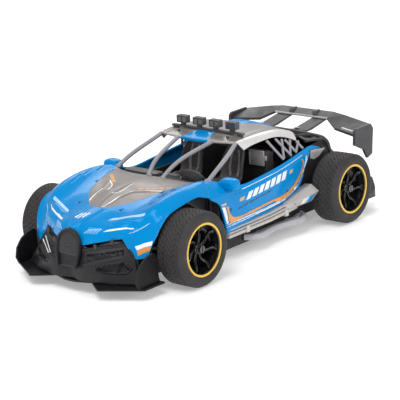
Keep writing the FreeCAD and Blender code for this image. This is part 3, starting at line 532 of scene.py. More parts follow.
# Lighter copy of the frame grey for the step bars: painted light on bars that sit in the car's shadow.
LIGHTENED_STEP_FRAME_GREY = finish("frame_plastic_painted_lighter", (0.44, 0.43, 0.46), 0.42, **FRAME_LOOK)
INTERIOR = finish("cabin_plastic", (0.028, 0.026, 0.028), 0.45, grain=1400, bump=0.15, variation=0.12,
                  wear_and_highlight=0.8, worn_and_lit_colour=(0.12, 0.11, 0.115), specular=0.35)
SEAT = finish("seat_plastic", (0.095, 0.087, 0.09), 0.45, grain=1400, bump=0.12, variation=0.1, wear_and_highlight=0.7,
              worn_and_lit_colour=(0.18, 0.17, 0.175), specular=0.35)
PALE_BOX = finish("pale_grey_plastic", (0.34, 0.32, 0.32), 0.55, grain=1300, bump=0.06)
# Darker copy of the black plastic for the splitter: painted shade on its upward faces.
DARKENED_SPLITTER_PLASTIC = finish("darkened_splitter_black", (0.0075, 0.0068, 0.0082), 0.5, grain=1500, bump=0.1,
                        variation=0.1, wear_and_highlight=0.5, worn_and_lit_colour=(0.10, 0.095, 0.10), specular=0.25)
CHASSIS = finish("chassis_plastic", (0.020, 0.0185, 0.019), 0.55, grain=1100, bump=0.12, variation=0.1,
                 specular=0.3)
DARK_STEEL = finish("dark_screw_steel", (0.10, 0.10, 0.10), 0.3, wear_and_highlight=0.6, worn_and_lit_colour=(0.8, 0.8, 0.8),
                    **STEEL_LOOK)
STEEL = finish("brushed_steel", (0.62, 0.61, 0.60), 0.25, wear_and_highlight=0.3, worn_and_lit_colour=(0.9, 0.9, 0.9), **STEEL_LOOK)
RUBBER = finish("tyre_rubber", (0.036, 0.033, 0.033), 0.66, grain=1800, bump=0.2, variation=0.14,
                wear_and_highlight=0.2, worn_and_lit_colour=(0.06, 0.056, 0.053), specular=0.35)
RIM_BLACK = finish("gloss_black_rim", (0.008, 0.008, 0.009), 0.16, grain=900, bump=0.01, variation=0.1,
                   wear_and_highlight=0.3, worn_and_lit_colour=(0.1, 0.1, 0.1), coat=0.8, rough_spread=0.03)
YELLOW = finish("yellow_ring", (0.85, 0.55, 0.06), 0.35, grain=900, bump=0.02, variation=0.04, wear_and_highlight=0.2,
                worn_and_lit_colour=(1.0, 0.8, 0.35), coat=0.3)
# White also colours painted highlights: lines on the doors and bars along the bumper's slot.
WHITE = finish("white_print_and_highlight", (0.86, 0.87, 0.88), 0.3, variation=0.02, coat=0.4, **PRINT_LOOK)
PALE_BLUE = finish("pale_blue_print", (0.42, 0.66, 0.92), 0.3, variation=0.03, coat=0.4, **PRINT_LOOK)
TAN = finish("tan_print", (0.62, 0.42, 0.26), 0.35, variation=0.05, coat=0.3, **PRINT_LOOK)
NAVY = finish("navy_print", (0.01, 0.045, 0.12), 0.35, variation=0.1, coat=0.3, **PRINT_LOOK)
ORANGE = finish("orange_print", (0.72, 0.30, 0.045), 0.3, variation=0.05, coat=0.4, **PRINT_LOOK)
SLEEVE = finish("battery_sleeve", (0.02, 0.07, 0.16), 0.3, grain=700, bump=0.05)
BOARD = finish("green_board", (0.01, 0.12, 0.04), 0.35, grain=1500, bump=0.1, variation=0.2)
LENS = finish("lamp_lens", (0.035, 0.033, 0.035), 0.14, grain=600, bump=0.1, variation=0.1, coat=0.8)


# ------------------------------------------------------------------ nets of the body panels
# LINES run along the car, one after the other from the middle to the left side. ROWS run down or
# across it, one after the other from front to back.
FRONT_LINES = [
    [(0, -172, 58), (0, -164, 60.8), (0, -153, 63.6), (0, -140, 66.3), (0, -122, 70.5), (0, -104, 74.2),
     (0, -84, 77), (0, -66, 76.6), (0, -55.5, 75)],
    [(12.8, -171, 42.3), (15, -166, 56.5), (15, -153, 61.8), (14, -139, 65.4), (14, -121, 69.8),
     (15, -104, 73.4), (16, -84, 76), (17, -66, 76.1), (17, -55.5, 74.7)],
    [(28.5, -163, 45.8), (30.5, -158, 56), (30, -148, 60.5), (30, -136, 65), (31, -120, 69.3),
     (33, -104, 72.6), (36, -84, 75.2), (38, -65, 75.8), (38, -54, 74.6)],
    [(43, -153.3, 48.5), (45.5, -150, 57.3), (46, -143, 62.5), (46, -133, 67), (46.5, -119, 71.3),
     (47.5, -104, 74.5), (49, -84, 77), (50, -64, 77.2), (50, -51, 75.6)],
    [(54.5, -151.9, 31.3), (56.5, -146.6, 44.9), (58, -139.6, 55.1), (59, -132, 67.5), (59, -119, 74.8),
     (59, -104, 78.2), (59, -84, 80.4), (59, -66, 80.2), (58, -58, 79)],
    [(60, -149.7, 31.9), (63, -145.9, 42.2), (65.5, -139.6, 52.1), (66.5, -132, 62), (66.5, -119, 70.5),
     (66.5, -104, 74.5), (66.5, -84, 77), (66.5, -70, 75.5), (66, -62, 74)],
    [(65.5, -146.1, 33.7), (67, -144.4, 41.7), (69, -141, 50.3), (70.5, -133, 61), (70.5, -120, 67),
     (70.5, -104, 70), (70.5, -84, 72.2), (70.5, -74, 70), (70.5, -67, 67.5)],
]
BONNET_OUTLINE = [(7, -138), (23, -122), (31, -110), (36, -97), (40, -84), (45, -66), (54, -40)]
DOOR_ROWS = [
    [(58, -57.5, 78.6), (66, -61.5, 74), (70.3, -66.4, 67.3), (70.8, -56, 60), (70.8, -48, 46),
     (69.5, -41, 28)],
    [(59, -48, 77), (67, -49, 71.5), (70, -50, 66), (70.8, -46, 58), (70.5, -42, 45), (69, -37, 28)],
    [(61.5, -34, 72), (68, -34, 67), (70, -34, 61), (70.5, -33, 53), (70, -32, 42), (68.5, -30, 28.5)],
    [(65, -15, 66.7), (69, -15, 62.5), (70, -15, 57), (70, -14, 50), (69.5, -12, 40), (67.5, -10, 29)],
    [(66, 10, 67.8), (69.5, 10, 63.5), (70, 10, 58), (69.5, 10, 50), (68.5, 11, 41), (66.5, 12, 30)],
    [(66, 35, 70.2), (69, 35, 66), (69.5, 35, 60), (69, 35, 52), (67.5, 36, 42), (65.5, 37, 31.5)],
    [(65, 60, 73.2), (68, 60, 69), (68.5, 60, 63), (67.5, 60, 54.5), (66, 60, 45), (64, 61, 34)],
    [(63, 80, 75.6), (66, 80, 71.8), (66.5, 79, 66), (65.5, 78, 58), (64, 77, 48.5), (62.5, 75, 37.5)],
    [(60.5, 96, 76.8), (63, 96, 73.5), (63.5, 94, 68), (62.5, 90, 60.5), (61.5, 87, 51), (60.5, 83, 43)],
]
HAUNCH_ROWS = [
    [(59.5, 96.5, 76.4), (62.5, 96.5, 73), (63, 94.5, 67.5), (62, 90.5, 60), (61, 87.5, 50.5),
     (60, 83.5, 36)],
    [(58.5, 112, 77.5), (61, 112, 73.5), (61.5, 111, 67), (61, 108, 58), (60.5, 105, 48), (60, 100, 34)],
    [(57.5, 130, 75.5), (60, 131, 70.5), (60.5, 131, 64), (60, 130, 56), (59.5, 128, 46), (59, 126, 34)],
    [(56, 141, 66.5), (58.5, 142, 63), (59, 142, 58), (59, 141.5, 52), (58.5, 140.5, 44), (58, 140, 34)],
    [(55, 150, 60), (57, 152, 57.5), (57.5, 153, 54), (57.5, 153, 48), (57, 153, 42), (56.5, 153, 34)],
]
TAIL_ROWS = [
    [(0, 153.5, 72.5), (25, 153.4, 71.5), (46, 152.6, 62), (54, 151.4, 58.5)],
    [(0, 157, 54), (25, 157, 53), (46, 156, 49), (55, 154, 47)],
    [(0, 156, 34), (25, 156, 34), (46, 155, 34), (54, 154, 34)],
]
ROOF_LINES = [
    [(0, 1, 97.8), (0, 12, 100.5), (0, 32, 102.3), (0, 52, 102.3), (0, 74, 99.5), (0, 92, 94.5),
     (0, 106, 89)],
    [(22, 3, 98.2), (22, 13, 100.5), (22, 33, 101.8), (22, 53, 101.5), (22, 75, 98.5), (22, 92, 93.5),
     (22, 105, 88.5)],
    [(42.5, 6, 98.8), (43, 15, 99.8), (43, 35, 100.3), (42.5, 55, 99.6), (41.5, 76, 96.8), (40.5, 92, 92),
     (40, 103, 87.5)],
]
RAIL_ROWS = [
    [(43.4, 6.5, 99), (46, 7.3, 98), (47.5, 10, 94.5), (48.5, 13.6, 90.5)],
    [(43.9, 15, 99.8), (47, 15.5, 98.8), (48.5, 17, 96), (49.5, 20, 92.3)],
    [(43.9, 35, 100.3), (47.5, 35, 99), (49.5, 36, 96.8), (50.5, 37, 94)],
    [(43.4, 55, 99.6), (47, 55, 98.5), (49.5, 56, 96.5), (51, 57, 93.9)],
    [(42.4, 76, 96.8), (46.5, 76, 95.6), (49.5, 76, 93), (51.5, 76, 89.8)],
    [(41.4, 94, 91.4), (46, 93.5, 90.2), (50, 92, 87.2), (53, 90, 84)],
]
SCOOP_LINES = [
    [(0, 60, 101.9), (0, 68, 102.2), (0, 80, 100.2), (0, 92, 96.4), (0, 109, 89.9)],
    [(7, 61, 101.7), (7.5, 69, 101.7), (8, 80, 99.6), (8.5, 92, 95.7), (9, 108.5, 89.4)],
    [(11, 62, 101), (12, 69, 99.6), (13, 80, 97.2), (14, 92, 93.4), (15, 107.5, 88)],
]
DECK_LINES = [
    [(0, 108, 85.6), (0, 125, 81.5), (0, 138, 79), (0, 150, 74)],
    [(25, 107, 85.4), (25, 125, 81.3), (25, 138, 78.6), (25, 150, 73)],
    [(44, 104, 84.4), (46, 125, 80.6), (46, 136, 75.5), (46, 150, 63)],
    [(55.5, 103, 80.4), (56.3, 125, 78.4), (55, 136, 71.5), (53, 150, 60.5)],
]
BUMPER_LINES = [
    [(0, -168, 54), (0, -172, 34), (0, -174, 12)],
    [(14.2, -169.3, 41), (14.4, -174, 33), (14, -177, 12)],
    [(28, -161, 44.5), (28, -170, 34), (28, -174, 12)],
    [(42, -150.8, 46.8), (42, -161, 36), (45, -168, 12)],
    [(51, -149.4, 39.7), (52, -154.4, 31.7), (57, -161.5, 12)],
    [(57, -149.9, 30.3), (59, -152.2, 24.5), (66, -157, 12)],
]


# ------------------------------------------------------------------ nose, wings and bonnet
HOOD = Surface(lines_to_net(FRONT_LINES))
HOOD_ROWS = 170
SPLIT_COLS = 24          # columns from the centre line to the bonnet's edge
WING_COLS = 84           # columns from the bonnet's edge to the wheel arch


def bonnet_half_width(y):
    """Distance from the middle to the edge of the bonnet."""
    outline = np.array(BONNET_OUTLINE, float)
    return np.interp(y, outline[:, 1], outline[:, 0])


def bonnet_edge(u):
    """For each u, the v on the car's left where the surface meets the bonnet's outline."""
    tries = np.linspace(0.5, 1, 400)
    grid = HOOD.grid(u, tries)
    outside = grid[..., 0] >= bonnet_half_width(grid[..., 1])
    return tries[np.argmax(outside, axis=1)]


def hood_tip():
    """The u where the centre line reaches the bonnet's front edge."""
    tries = np.linspace(0, 1, 400)
    centre = HOOD.grid(tries, [0.5])[:, 0]
    return tries[np.argmax(centre[:, 1] >= BONNET_OUTLINE[0][1])]


def symmetric(half):
    """Column parameters for both sides from those of the left side, which start at the centre."""
    return np.concatenate([1 - half[:, :0:-1], half], axis=1)


def smoothed(values, passes=12):
    """Evens out small steps without moving the ends."""
    values = values.copy()
    for _ in range(passes):
        values[1:-1] = (values[:-2] + 2 * values[1:-1] + values[2:]) / 4
    return values


def nose_crease(u):
    """Straight facets at the nose, smooth curves further back."""
    return 1 - smooth_step(np.asarray(u), 0.0, 0.22)


def hood_grid():
    """Grid over the nose and wings, with a mask for the cells that belong to the bonnet."""
    tip = hood_tip()
    ahead = np.linspace(0, tip, HOOD_ROWS // 3)
    u = np.concatenate([ahead, np.linspace(tip, 1, HOOD_ROWS - len(ahead) + 1)[1:]])
    edge = bonnet_edge(u)
    edge[:len(ahead)] = edge[len(ahead) - 1]
    edge[len(ahead) - 1:] = smoothed(edge[len(ahead) - 1:])
    inner = 0.5 + (edge - 0.5)[:, None] * np.linspace(0, 1, SPLIT_COLS)[None]
    outer = edge[:, None] + (1 - edge)[:, None] * np.linspace(0, 1, WING_COLS)[None, 1:]
    grid = HOOD.grid(u, symmetric(np.hstack([inner, outer])), nose_crease(u))
    cols = grid.shape[1] - 1
    open_cols = abs(np.arange(cols) + 0.5 - cols / 2) < SPLIT_COLS - 1
    keep = ~((np.arange(len(u) - 1)[:, None] >= len(ahead) - 1) & open_cols[None])
    return grid, keep


def bonnet_grid():
    """Grid over the bonnet, a little inside the opening left for it."""
    u = np.linspace(hood_tip(), 1, 110)
    edge = smoothed(bonnet_edge(u))
    half = 0.5 + (edge - 0.5 - 0.0018)[:, None] * np.linspace(0, 1, 45)[None]
    grid = HOOD.grid(u, symmetric(half), nose_crease(u))
    grid[0, :, 1] += PANEL_GAP
    return grid


# Outlines seen from above on the car's left, which the right side mirrors.
LAMP_STEP = [(26, -149), (38.4, -143.5), (50, -137.1), (57, -131), (61, -137), (55, -143.3), (50.2, -152.6),
             (28.1, -161)]
LAMP_HOLLOW = [(29.5, -153.5), (51, -140.5), (53, -143.8), (50.4, -147.8), (28.8, -160.5)]
CREST = [(2.5, -170), (7, -156), (8, -148), (8.5, -138.5)]
BONNET_CREASE = [(2.5, -138.5), (-1.6, -123.7), (-2.5, -111.9), (1, -81.6)]
FENDER_VENT_ROWS = [((52.5, -111), (55.5, -96)), ((53.5, -93), (56, -80)), ((51.5, -77), (54.5, -66))]
SCREW_SPOTS = [(24.4, -133), (38.3, -93)]


def raised(points, outline, height, ramp_width=1.4):
    """Height of a moulded step inside an outline."""
    return height * smooth_step(inside_distance(points, outline), 0.0, ramp_width)


def ridge(points, line, height, width):
    """Height of a rounded rib along a line."""
    return height * (1 - smooth_step(distance_to_line(points, line), 0.0, width))


def pit(points, spot, low, high, depth=1.2):
    """Depth of a round screw recess at a spot."""
    distance = np.hypot(points[..., 0] - spot[0], points[..., 1] - spot[1])
    return depth * (1 - smooth_step(distance, low, high))


def plan_of(grid):
    """Places seen from above, with both sides of the car folded onto its left."""
    return np.stack([abs(grid[..., 0]), grid[..., 1]], axis=-1)


def nose_details(grid):
    """Height of the moulded details of the nose, along the normal."""
    plan = plan_of(grid)
    height = raised(plan, LAMP_STEP, 0.9) - raised(plan, LAMP_HOLLOW, 1.1)
    height += ridge(plan, CREST, 0.8, 2.6)
    for start, end in FENDER_VENT_ROWS:
        height -= ridge(plan, [start, end], 0.6, 1.3)
    for spot in SCREW_SPOTS:
        height -= pit(plan, spot, 1.3, 1.9)
    return height


def bonnet_details(grid):
    """Height of the bonnet's crease and side folds."""
    plan = grid[..., :2]
    height = -ridge(plan, BONNET_CREASE, 0.8, 1.1)
    for fold in ([(7.6, -131), (8.4, -117.8), (12.6, -103.6), (26.5, -95.3), (43.5, -88.1)],
                 [(-15.2, -131.3), (-18.2, -118.4), (-19.5, -106.1), (-26.2, -88.9)]):
        height += ridge(plan, fold, 0.7, 2.4)
    return height


def moved(grid, height, outwards=(0, 0, 1)):
    """The grid moved along its normals, which are taken to point outwards."""
    normal = normals_of(grid)
    if (normal @ np.array(outwards, float)).sum() < 0:
        normal = -normal
    return grid + normal * height[..., None]


def make_hood():
    """Nose with the wings, the bonnet and what is printed on them."""
    grid, keep = hood_grid()
    shell = facing(grid_patch(moved(grid, nose_details(grid)), keep), (0, 0, 1))
    thicken(piece("nose_and_wings", shell, BLUE, replaces=["front_shell"]))
    rows = bonnet_grid()
    bonnet = facing(grid_patch(moved(rows, bonnet_details(rows))), (0, 0, 1))
    thicken(piece("bonnet", bonnet, WARM_GREY, replaces=["bonnet_panel"]))
    make_nose_prints(tree_of(shell), tree_of(bonnet))


BLADE_LIFT = 0.3          # of the prints that stand for the headlamps


def make_nose_prints(shell, bonnet):
    """Headlamp blades, badge bars, bands and stripes on the nose and bonnet."""
    near_blade = print_line(shell, [(28.6, -160.8, 54.3), (40, -153.5, 56), (51, -146.8, 57.6)],
                            1.6, lift=BLADE_LIFT)
    far_blade = print_line(shell, [(19.5, -160.8, 58.4), (28, -155.8, 58.8), (36.2, -151.3, 59.8),
                                   (43.8, -147, 61), (50, -142, 61.5)], 2.4, lift=BLADE_LIFT)
    upper_blade = print_between(shell, [(25.4, -145.3, 61.8), (53.2, -133.2, 67.7)],
                                [(23.8, -149.2, 60.5), (53.7, -135.5, 65.4)], lift=BLADE_LIFT)
    flick = print_line(shell, [(50.2, -152.6, 54.1), (54.8, -143.3, 56.4), (60.4, -136.4, 60.8)], 0.7)
    band = print_between(shell, [(54.8, -151.6, 42.7), (60, -145.9, 45.2), (67.8, -143.1, 47.8)],
                         [(56.3, -151.5, 39.5), (61, -146.9, 41.7), (67.5, -144.1, 43.8)])
    band_below = print_between(shell, [(56.4, -151.6, 39.1), (61.1, -147.1, 41.3), (67.4, -144.2, 43.3)],
                               [(57.5, -151.5, 34.9), (61.5, -147.5, 37), (66.6, -145.2, 39.3)])
    badge = [print_line(shell, line, 1.5) for line in (
        [(-4.6, -160, 61), (-3.4, -151.5, 64)], [(-1.4, -160.4, 61), (-0.2, -150, 64)],
        [(1.8, -158, 62), (3, -149, 64)])]
    stripes = [
        print_line(bonnet, [(5.7, -136.4, 67), (7.6, -130.4, 68), (8.4, -117.8, 71), (12.6, -103.6, 74),
                            (26.5, -95.3, 74), (39.5, -90.3, 74)], 0.9),
        print_line(bonnet, [(-4.2, -111.3, 73), (0, -111.2, 73), (2.3, -99.7, 75), (1, -81.6, 77)], 0.8),
        print_line(bonnet, [(-15.2, -129.5, 67), (-18.2, -118.4, 70), (-19.5, -106.1, 73)], 0.8),
        print_line(bonnet, [(-13.5, -107.1, 73), (-14.5, -101, 74), (-26.2, -88.9, 75)], 1.2)]
    whites = joined(both_sides(flick), near_blade, mirrored(far_blade), band, *badge, *stripes)
    printed("white_nose_prints", whites, WHITE)
    pale = [upper_blade]
    dashes = []
    for k in range(5):
        hatch = [(13.2 + 2.1 * k, -170.4 + 1.9 * k, 53 - 0.4 * k), (17 + 2 * k, -164.6 + 1.3 * k, 55.5)]
        pale.append(print_line(shell, hatch, 0.9, 8))
        dash = [(13.5 + 5.4 * k, -96.2 + 3.4 * k, 74.5), (17.2 + 5.4 * k, -93.9 + 3.4 * k, 75)]
        dashes.append(print_line(bonnet, dash, 2.0, 6))
    printed("pale_nose_prints", both_sides(joined(*pale)), PALE_BLUE)
    bar = print_line(bonnet, [(-39, -72.8, 76.5), (-20.6, -90, 75.5)], 3.2, 12)
    printed("orange_nose_prints", joined(band_below, bar, *dashes), ORANGE)
    slots = [print_line(shell, [(x, y, 73), (x + 2.4, y + 4.2, 74)], 1.2, 6, lift=0.2)
             for x, y in ((44.9, -120.1), (43.7, -104.5), (43.1, -98.5), (44.2, -88))]
    pegs = [disc((x, y, z), (0.1, -0.4, 1), 1.5, 0.8) for (x, y), z in zip(SCREW_SPOTS, (65.4, 73.2))]
    printed("dark_nose_slots", joined(both_sides(joined(*pegs)), *slots), BLACK)


# ------------------------------------------------------------------ doors and tail panels
# Outlines, lines and spots on the left side of the car as (y, z).
DOOR_BORDER = [(-46, 31), (-43, 31.8), (-11, 32.8), (30, 33.6), (56, 35), (70, 38.6), (80, 45), (88, 54.5),
               (92, 62), (94, 69), (93, 76)]
DOOR_FIELD = [(-40, 65), (-16, 63), (20, 65.8), (50, 69.3), (80, 73.2), (86.2, 71), (87, 65), (84.5, 58),
              (78, 51), (68, 44), (55, 39), (14, 37.5), (-21, 36), (-42, 35.5)]
DOOR_SCREWS = [(-36.2, 49.0), (55.9, 44.0)]
DOOR_LOWER_LINE = [(-43, 33.8), (-11, 34.9), (30, 35.7), (55, 37.4), (69, 41.5), (79, 47.6)]
DOOR_X = 69.0             # plane in which the prints are laid out
STRIPE_LIFT = 0.45        # keeps the wide stripe clear of the moulding under it


def on_door(*places):
    """Points in the door's plane from their (y, z)."""
    return [(DOOR_X, y, z) for y, z in places]


def door_details(grid):
    """Height of the stepped moulding, the shallow field and the screw recesses."""
    side = grid[..., 1:]
    from_border = distance_to_line(side, DOOR_BORDER)
    height = -raised(side, DOOR_FIELD, 0.5, 1.0)
    for place in (1.6, 3.6):
        height += 0.45 * (1 - smooth_step(np.abs(from_border - place), 0.3, 1.0))
    for spot in DOOR_SCREWS:
        height -= pit(side, spot, 1.2, 1.8)
    return height


def make_doors():
    """Moulded door skins and their prints."""
    grid = Surface(DOOR_ROWS).even_grid(190, 90)
    left = facing(grid_patch(moved(grid, door_details(grid), (1, 0, 0))), (1, 0, 0))
    for name, patch in (("left_door", left), ("right_door", mirrored(left))):
        thicken(piece(name, patch, BLUE, replaces=[name + "_panel"]))
    make_door_prints(tree_of(left))


def slanted_blocks(door, low, high, count, share):
    """Row of slanted blocks between a lower and an upper line."""
    low, high = np.array(on_door(*low)), np.array(on_door(*high))
    blocks = []
    for number in range(count):
        start, end = number / count, (number + share) / count
        left = [low[0] + (low[1] - low[0]) * start, high[0] + (high[1] - high[0]) * start]
        right = [low[0] + (low[1] - low[0]) * end, high[0] + (high[1] - high[0]) * end]
        blocks.append(print_between(door, left, right, 6, 5))
    return blocks


def make_door_prints(door):
    """Stripes and blocks on the door skins, and white lines that are painted highlights under the window and
    along the lower moulding.
    """
    inner = on_door((79, 69), (82, 65.5), (82.3, 60), (76, 53), (66, 46.5), (54.9, 42.6), (34, 41.7),
                    (13.3, 41.1), (-6, 40.5), (-24.7, 40.1), (-33, 42), (-38.5, 47), (-41.6, 53.9))
    outer = on_door((80.5, 70), (84.2, 66), (84.3, 59.5), (77.6, 51.6), (67, 44.6), (55.5, 40.4), (35, 39.5),
                    (14.5, 38.9), (-5, 38.2), (-23, 37.5), (-38.1, 38), (-40.6, 44), (-44.6, 54))
    stripe = print_between(door, smooth_line(inner, 90), smooth_line(outer, 90), 90, 5, STRIPE_LIFT)
    printed("orange_door_stripes", both_sides(stripe), ORANGE)
    bar = print_between(door, on_door((-50, 54.6), (-43.2, 37.6)), on_door((-45.6, 54), (-39.2, 37.4)), 12, 4)
    # White line under the window: a painted highlight.
    sill = print_line(door, on_door((-17, 64), (20, 66.3), (50, 69), (82, 73.8)), 0.8, 50, (1, 0, 0))
    # White lines along the ridges of the lower moulding: painted highlights.
    lines = []
    for rise, width in ((0.0, 0.6), (1.9, 1.0)):
        along = [(y, z + rise) for y, z in DOOR_LOWER_LINE]
        along += [(86.6 - rise, 57), (90.2 - rise, 65), (90.5 - rise, 71)]
        lines.append(print_line(door, on_door(*along), width, 70, (1, 0, 0)))
    blocks = slanted_blocks(door, [(-13, 52.3), (52, 57.5)], [(-8, 58.8), (54.5, 65.7)], 7, 0.72)
    printed("white_door_prints_and_highlights", both_sides(joined(bar, sill, *lines, *blocks)), WHITE)
    squares = [print_between(door, on_door((a, low), (a + 1, high)),
                             on_door((b, low + 0.3), (b + 1, high + 0.5)), 5, 5)
               for a, b, low, high in ((-23, -15.8, 53.2, 56.4), (56.5, 62, 60.6, 63.8))]
    block_above = print_between(door, on_door((-50.7, 57.4), (-43.8, 57.7)),
                                on_door((-50.3, 55.6), (-44, 55.3)), 6, 3)
    printed("tan_door_prints", both_sides(joined(*squares, block_above)), TAN)
    dashes = slanted_blocks(door, [(-26, 46.6), (27, 51.2)], [(-25, 48.2), (28, 52.9)], 6, 0.8)
    pegs = [disc((69.6 if y < 0 else 65.7, y, z), (1, 0, 0), 1.5, 0.8) for y, z in DOOR_SCREWS]
    printed("dark_door_prints", both_sides(joined(*dashes, *pegs)), NAVY)


# The hollow is seen from above, the grooves from the side as (y, z).
DECK_HOLLOW = [(14, 110), (50, 108), (53, 114), (51, 124), (14, 125.5)]
HAUNCH_GROOVES = [[(100, 70), (112, 62), (118, 74)], [(146, 72), (146, 40)]]
AXLE_HOLE_R = 4.5
TAIL_VENT_HALF_W = 40
TAIL_VENT_HEIGHTS = (44, 48, 52)


def make_tail_panels():
    """Dark haunches and tail, and the deck between them."""
    haunch = Surface(HAUNCH_ROWS).even_grid(90, 60)
    side = haunch[..., 1:]
    groove = sum(ridge(side, line, 0.5, 1.2) for line in HAUNCH_GROOVES)
    haunch = moved(haunch, -groove, (1, 0, 0))
    tail = Surface([full_width(row) for row in TAIL_ROWS]).even_grid(90, 120)
    face = np.stack([tail[..., 0], tail[..., 2]], axis=-1)
    for z in TAIL_VENT_HEIGHTS:
        tail[..., 1] -= ridge(face, [(-TAIL_VENT_HALF_W, z), (TAIL_VENT_HALF_W, z)], 0.9, 1.3)
    from_axle = np.hypot(side[..., 0] - REAR_WHEEL_CENTRE[1], side[..., 1] - REAR_WHEEL_CENTRE[2])
    axle_hole = from_axle < AXLE_HOLE_R
    keep = ~(axle_hole[:-1, :-1] | axle_hole[1:, :-1] | axle_hole[:-1, 1:] | axle_hole[1:, 1:])
    left = facing(grid_patch(haunch, keep), (1, 0, 0))
    panels = joined(both_sides(left), facing(grid_patch(tail), (0, 1, 0)))
    thicken(piece("rear_haunches", panels, BLACK, replaces=["rear_bodywork"]))
    deck = Surface(lines_to_net(DECK_LINES)).even_grid(70, 150)
    deck[..., 2] -= raised(plan_of(deck), DECK_HOLLOW, 3.5, 2.0)
    thicken(piece("deck_panel", facing(grid_patch(deck), (0, 0, 1)), BLACK,
                  replaces=["rear_deck"]))
    make_deck_frame()
    make_corner_trim(tree_of(left))


def make_deck_frame():
    """Bar across the deck behind the hollow, bent down at each corner."""
    half = smooth_line([(0, 129.5, 81.2), (26, 129, 80.8), (50, 127.6, 80), (57.6, 128, 78.4),
                        (59.4, 131, 74), (60, 133, 68), (59.8, 136, 62)], 60)
    bar = sweep(half, rounded_box(1.9, 1.9, 1.1))
    stays = [sweep(np.linspace(start, end, 6), rounded_box(1.2, 1.2, 0.6)) for start, end in
             (((43, 104, 84.5), (44, 128, 80.2)), ((54.5, 101.5, 81), (58, 128, 78.5)))]
    piece("deck_frame", both_sides(joined(bar, *stays)), WING_GREY, sharp=45)


def make_corner_trim(side):
    """Blue and silver corner pieces above each rear wheel."""
    trim = print_between(side, [(62, 98.5, 73), (61.5, 108, 72.6), (61, 116, 71.2), (60.4, 124.5, 70.6)],
                         [(62.4, 98, 66), (62, 104.5, 63.4), (61.5, 112, 63.6), (60.8, 121.5, 68.4)],
                         30, 12, 0.5)
    thicken(piece("corner_trim", both_sides(trim), SILVER), 0.8, 0.2)
    cap = print_between(side, [(59.8, 97, 77), (59.4, 104, 76.6), (60.6, 116, 72.4)],
                        [(62.6, 97, 73.6), (61.8, 104, 73.2), (61, 116, 71.6)], 24, 10, 0.55)
    thicken(piece("corner_cap", both_sides(cap), BLUE), 0.8, 0.2)


# ------------------------------------------------------------------ roof
ROOF_SCREWS = [(29.0, 14.5)]


def roof_details(grid):
    """Height of the folds in front of the lamps and of the rear grooves."""
    plan = plan_of(grid)
    height = raised(plan, [(17, -2), (12, 17), (36, 19), (40, 4)], -0.8, 2.0)
    height -= ridge(plan, [(13, 40), (17, 98)], 0.5, 1.2)
    height -= ridge(plan, [(38, 30), (36, 98)], 0.4, 1.2)
    return height


def make_roof_patch(roof):
    """Blue patch in the middle of the roof's front, and its folded lip."""
    patch = print_between(roof, [(-15.4, 1, 97.8), (-9.5, 23, 101)], [(15.4, 1, 97.8), (9.5, 23, 101)],
                          24, 24, 0.3)
    front = print_between(roof, [(-15.4, 0.9, 97.6), (15.4, 0.9, 97.6)],
                          [(-15.4, 1.6, 97.8), (15.4, 1.6, 97.8)], 24, 3, 0.3)
    thicken(piece("roof_blue_patch", joined(patch, front), BLUE), 0.5, 0.1)
    lip = sweep(smooth_line([(-15.2, 1.3, 97.5), (0, 0.5, 97.3), (15.2, 1.3, 97.5)], 20),
                rounded_box(1.2, 1.4, 0.6))
    piece("roof_blue_lip", lip, BLUE, sharp=50)


def make_roof():
    """Grey roof with its lip as a silver bar that is a painted highlight, the pale side rails and the blue
    spine.
    """
    grid = Surface(lines_to_net(ROOF_LINES)).even_grid(120, 130)
    panel = facing(grid_patch(moved(grid, roof_details(grid))), (0, 0, 1))
    thicken(piece("roof", panel, ROOF_GREY, replaces=["roof_panel"]))
    # Silver bar along the roof's front lip: a painted highlight of the lip's edge.
    lip = sweep(smooth_line(full_width([(0, 0.8, 97.3), (22, 2.8, 97.7), (43, 6.2, 98.2)]), 60),
                rounded_box(0.9, 1.1, 0.5))
    piece("roof_lip_painted_highlight", lip, SILVER, sharp=50)
    make_roof_patch(tree_of(panel))
    pegs = [disc((x, y, 100.9), (0, 0, 1), 1.5, 1.0) for x, y in ROOF_SCREWS]
    soften(piece("roof_screws", both_sides(joined(*pegs)), BLACK), 0.2)
    rail = Surface(RAIL_ROWS).even_grid(100, 30)
    thicken(piece("roof_rails", both_sides(facing(grid_patch(rail), (1, 0, 0.5))), PALE_SILVER,
                  replaces=["roof_side_rails"]))
    scoop = Surface(lines_to_net(SCOOP_LINES)).even_grid(90, 60)
    height = -raised(plan_of(scoop), [(0, 60), (5, 62), (6, 100), (0, 104)], 0.8, 1.2)
    thicken(piece("roof_spine", facing(grid_patch(moved(scoop, height)), (0, 0, 1)), BLUE,
                  replaces=["roof_scoop"]), 1.2)


# ------------------------------------------------------------------ bumper and grille
# Outlines on the bumper's face as (distance from the middle, height).
BUMPER_SLOT = [(16.8, 35.4), (45.6, 39.6), (47.4, 35.4), (19.6, 29.6)]
BUMPER_DUCT = [(27.7, 25.6), (47.6, 30), (54.2, 23.8), (51.5, 20.6), (29, 22)]
BUMPER_RIDGES = [[(13, 38.2), (24, 40.2), (46, 43.4), (52, 35.5), (57, 25), (60.5, 18)],
                 [(17, 27.4), (28, 29.4), (47, 33.6), (52, 30.5)]]
MESH_PITCH = 1.5


def mesh_pattern(first, second, pitch):
    """Raised crossing lines of a diamond mesh, from 0 to 1."""
    slanted = np.stack([first + second * 1.7, first - second * 1.7])
    near = np.abs(slanted / pitch - np.round(slanted / pitch)).min(axis=0)
    return 1 - smooth_step(near, 0.12, 0.3)


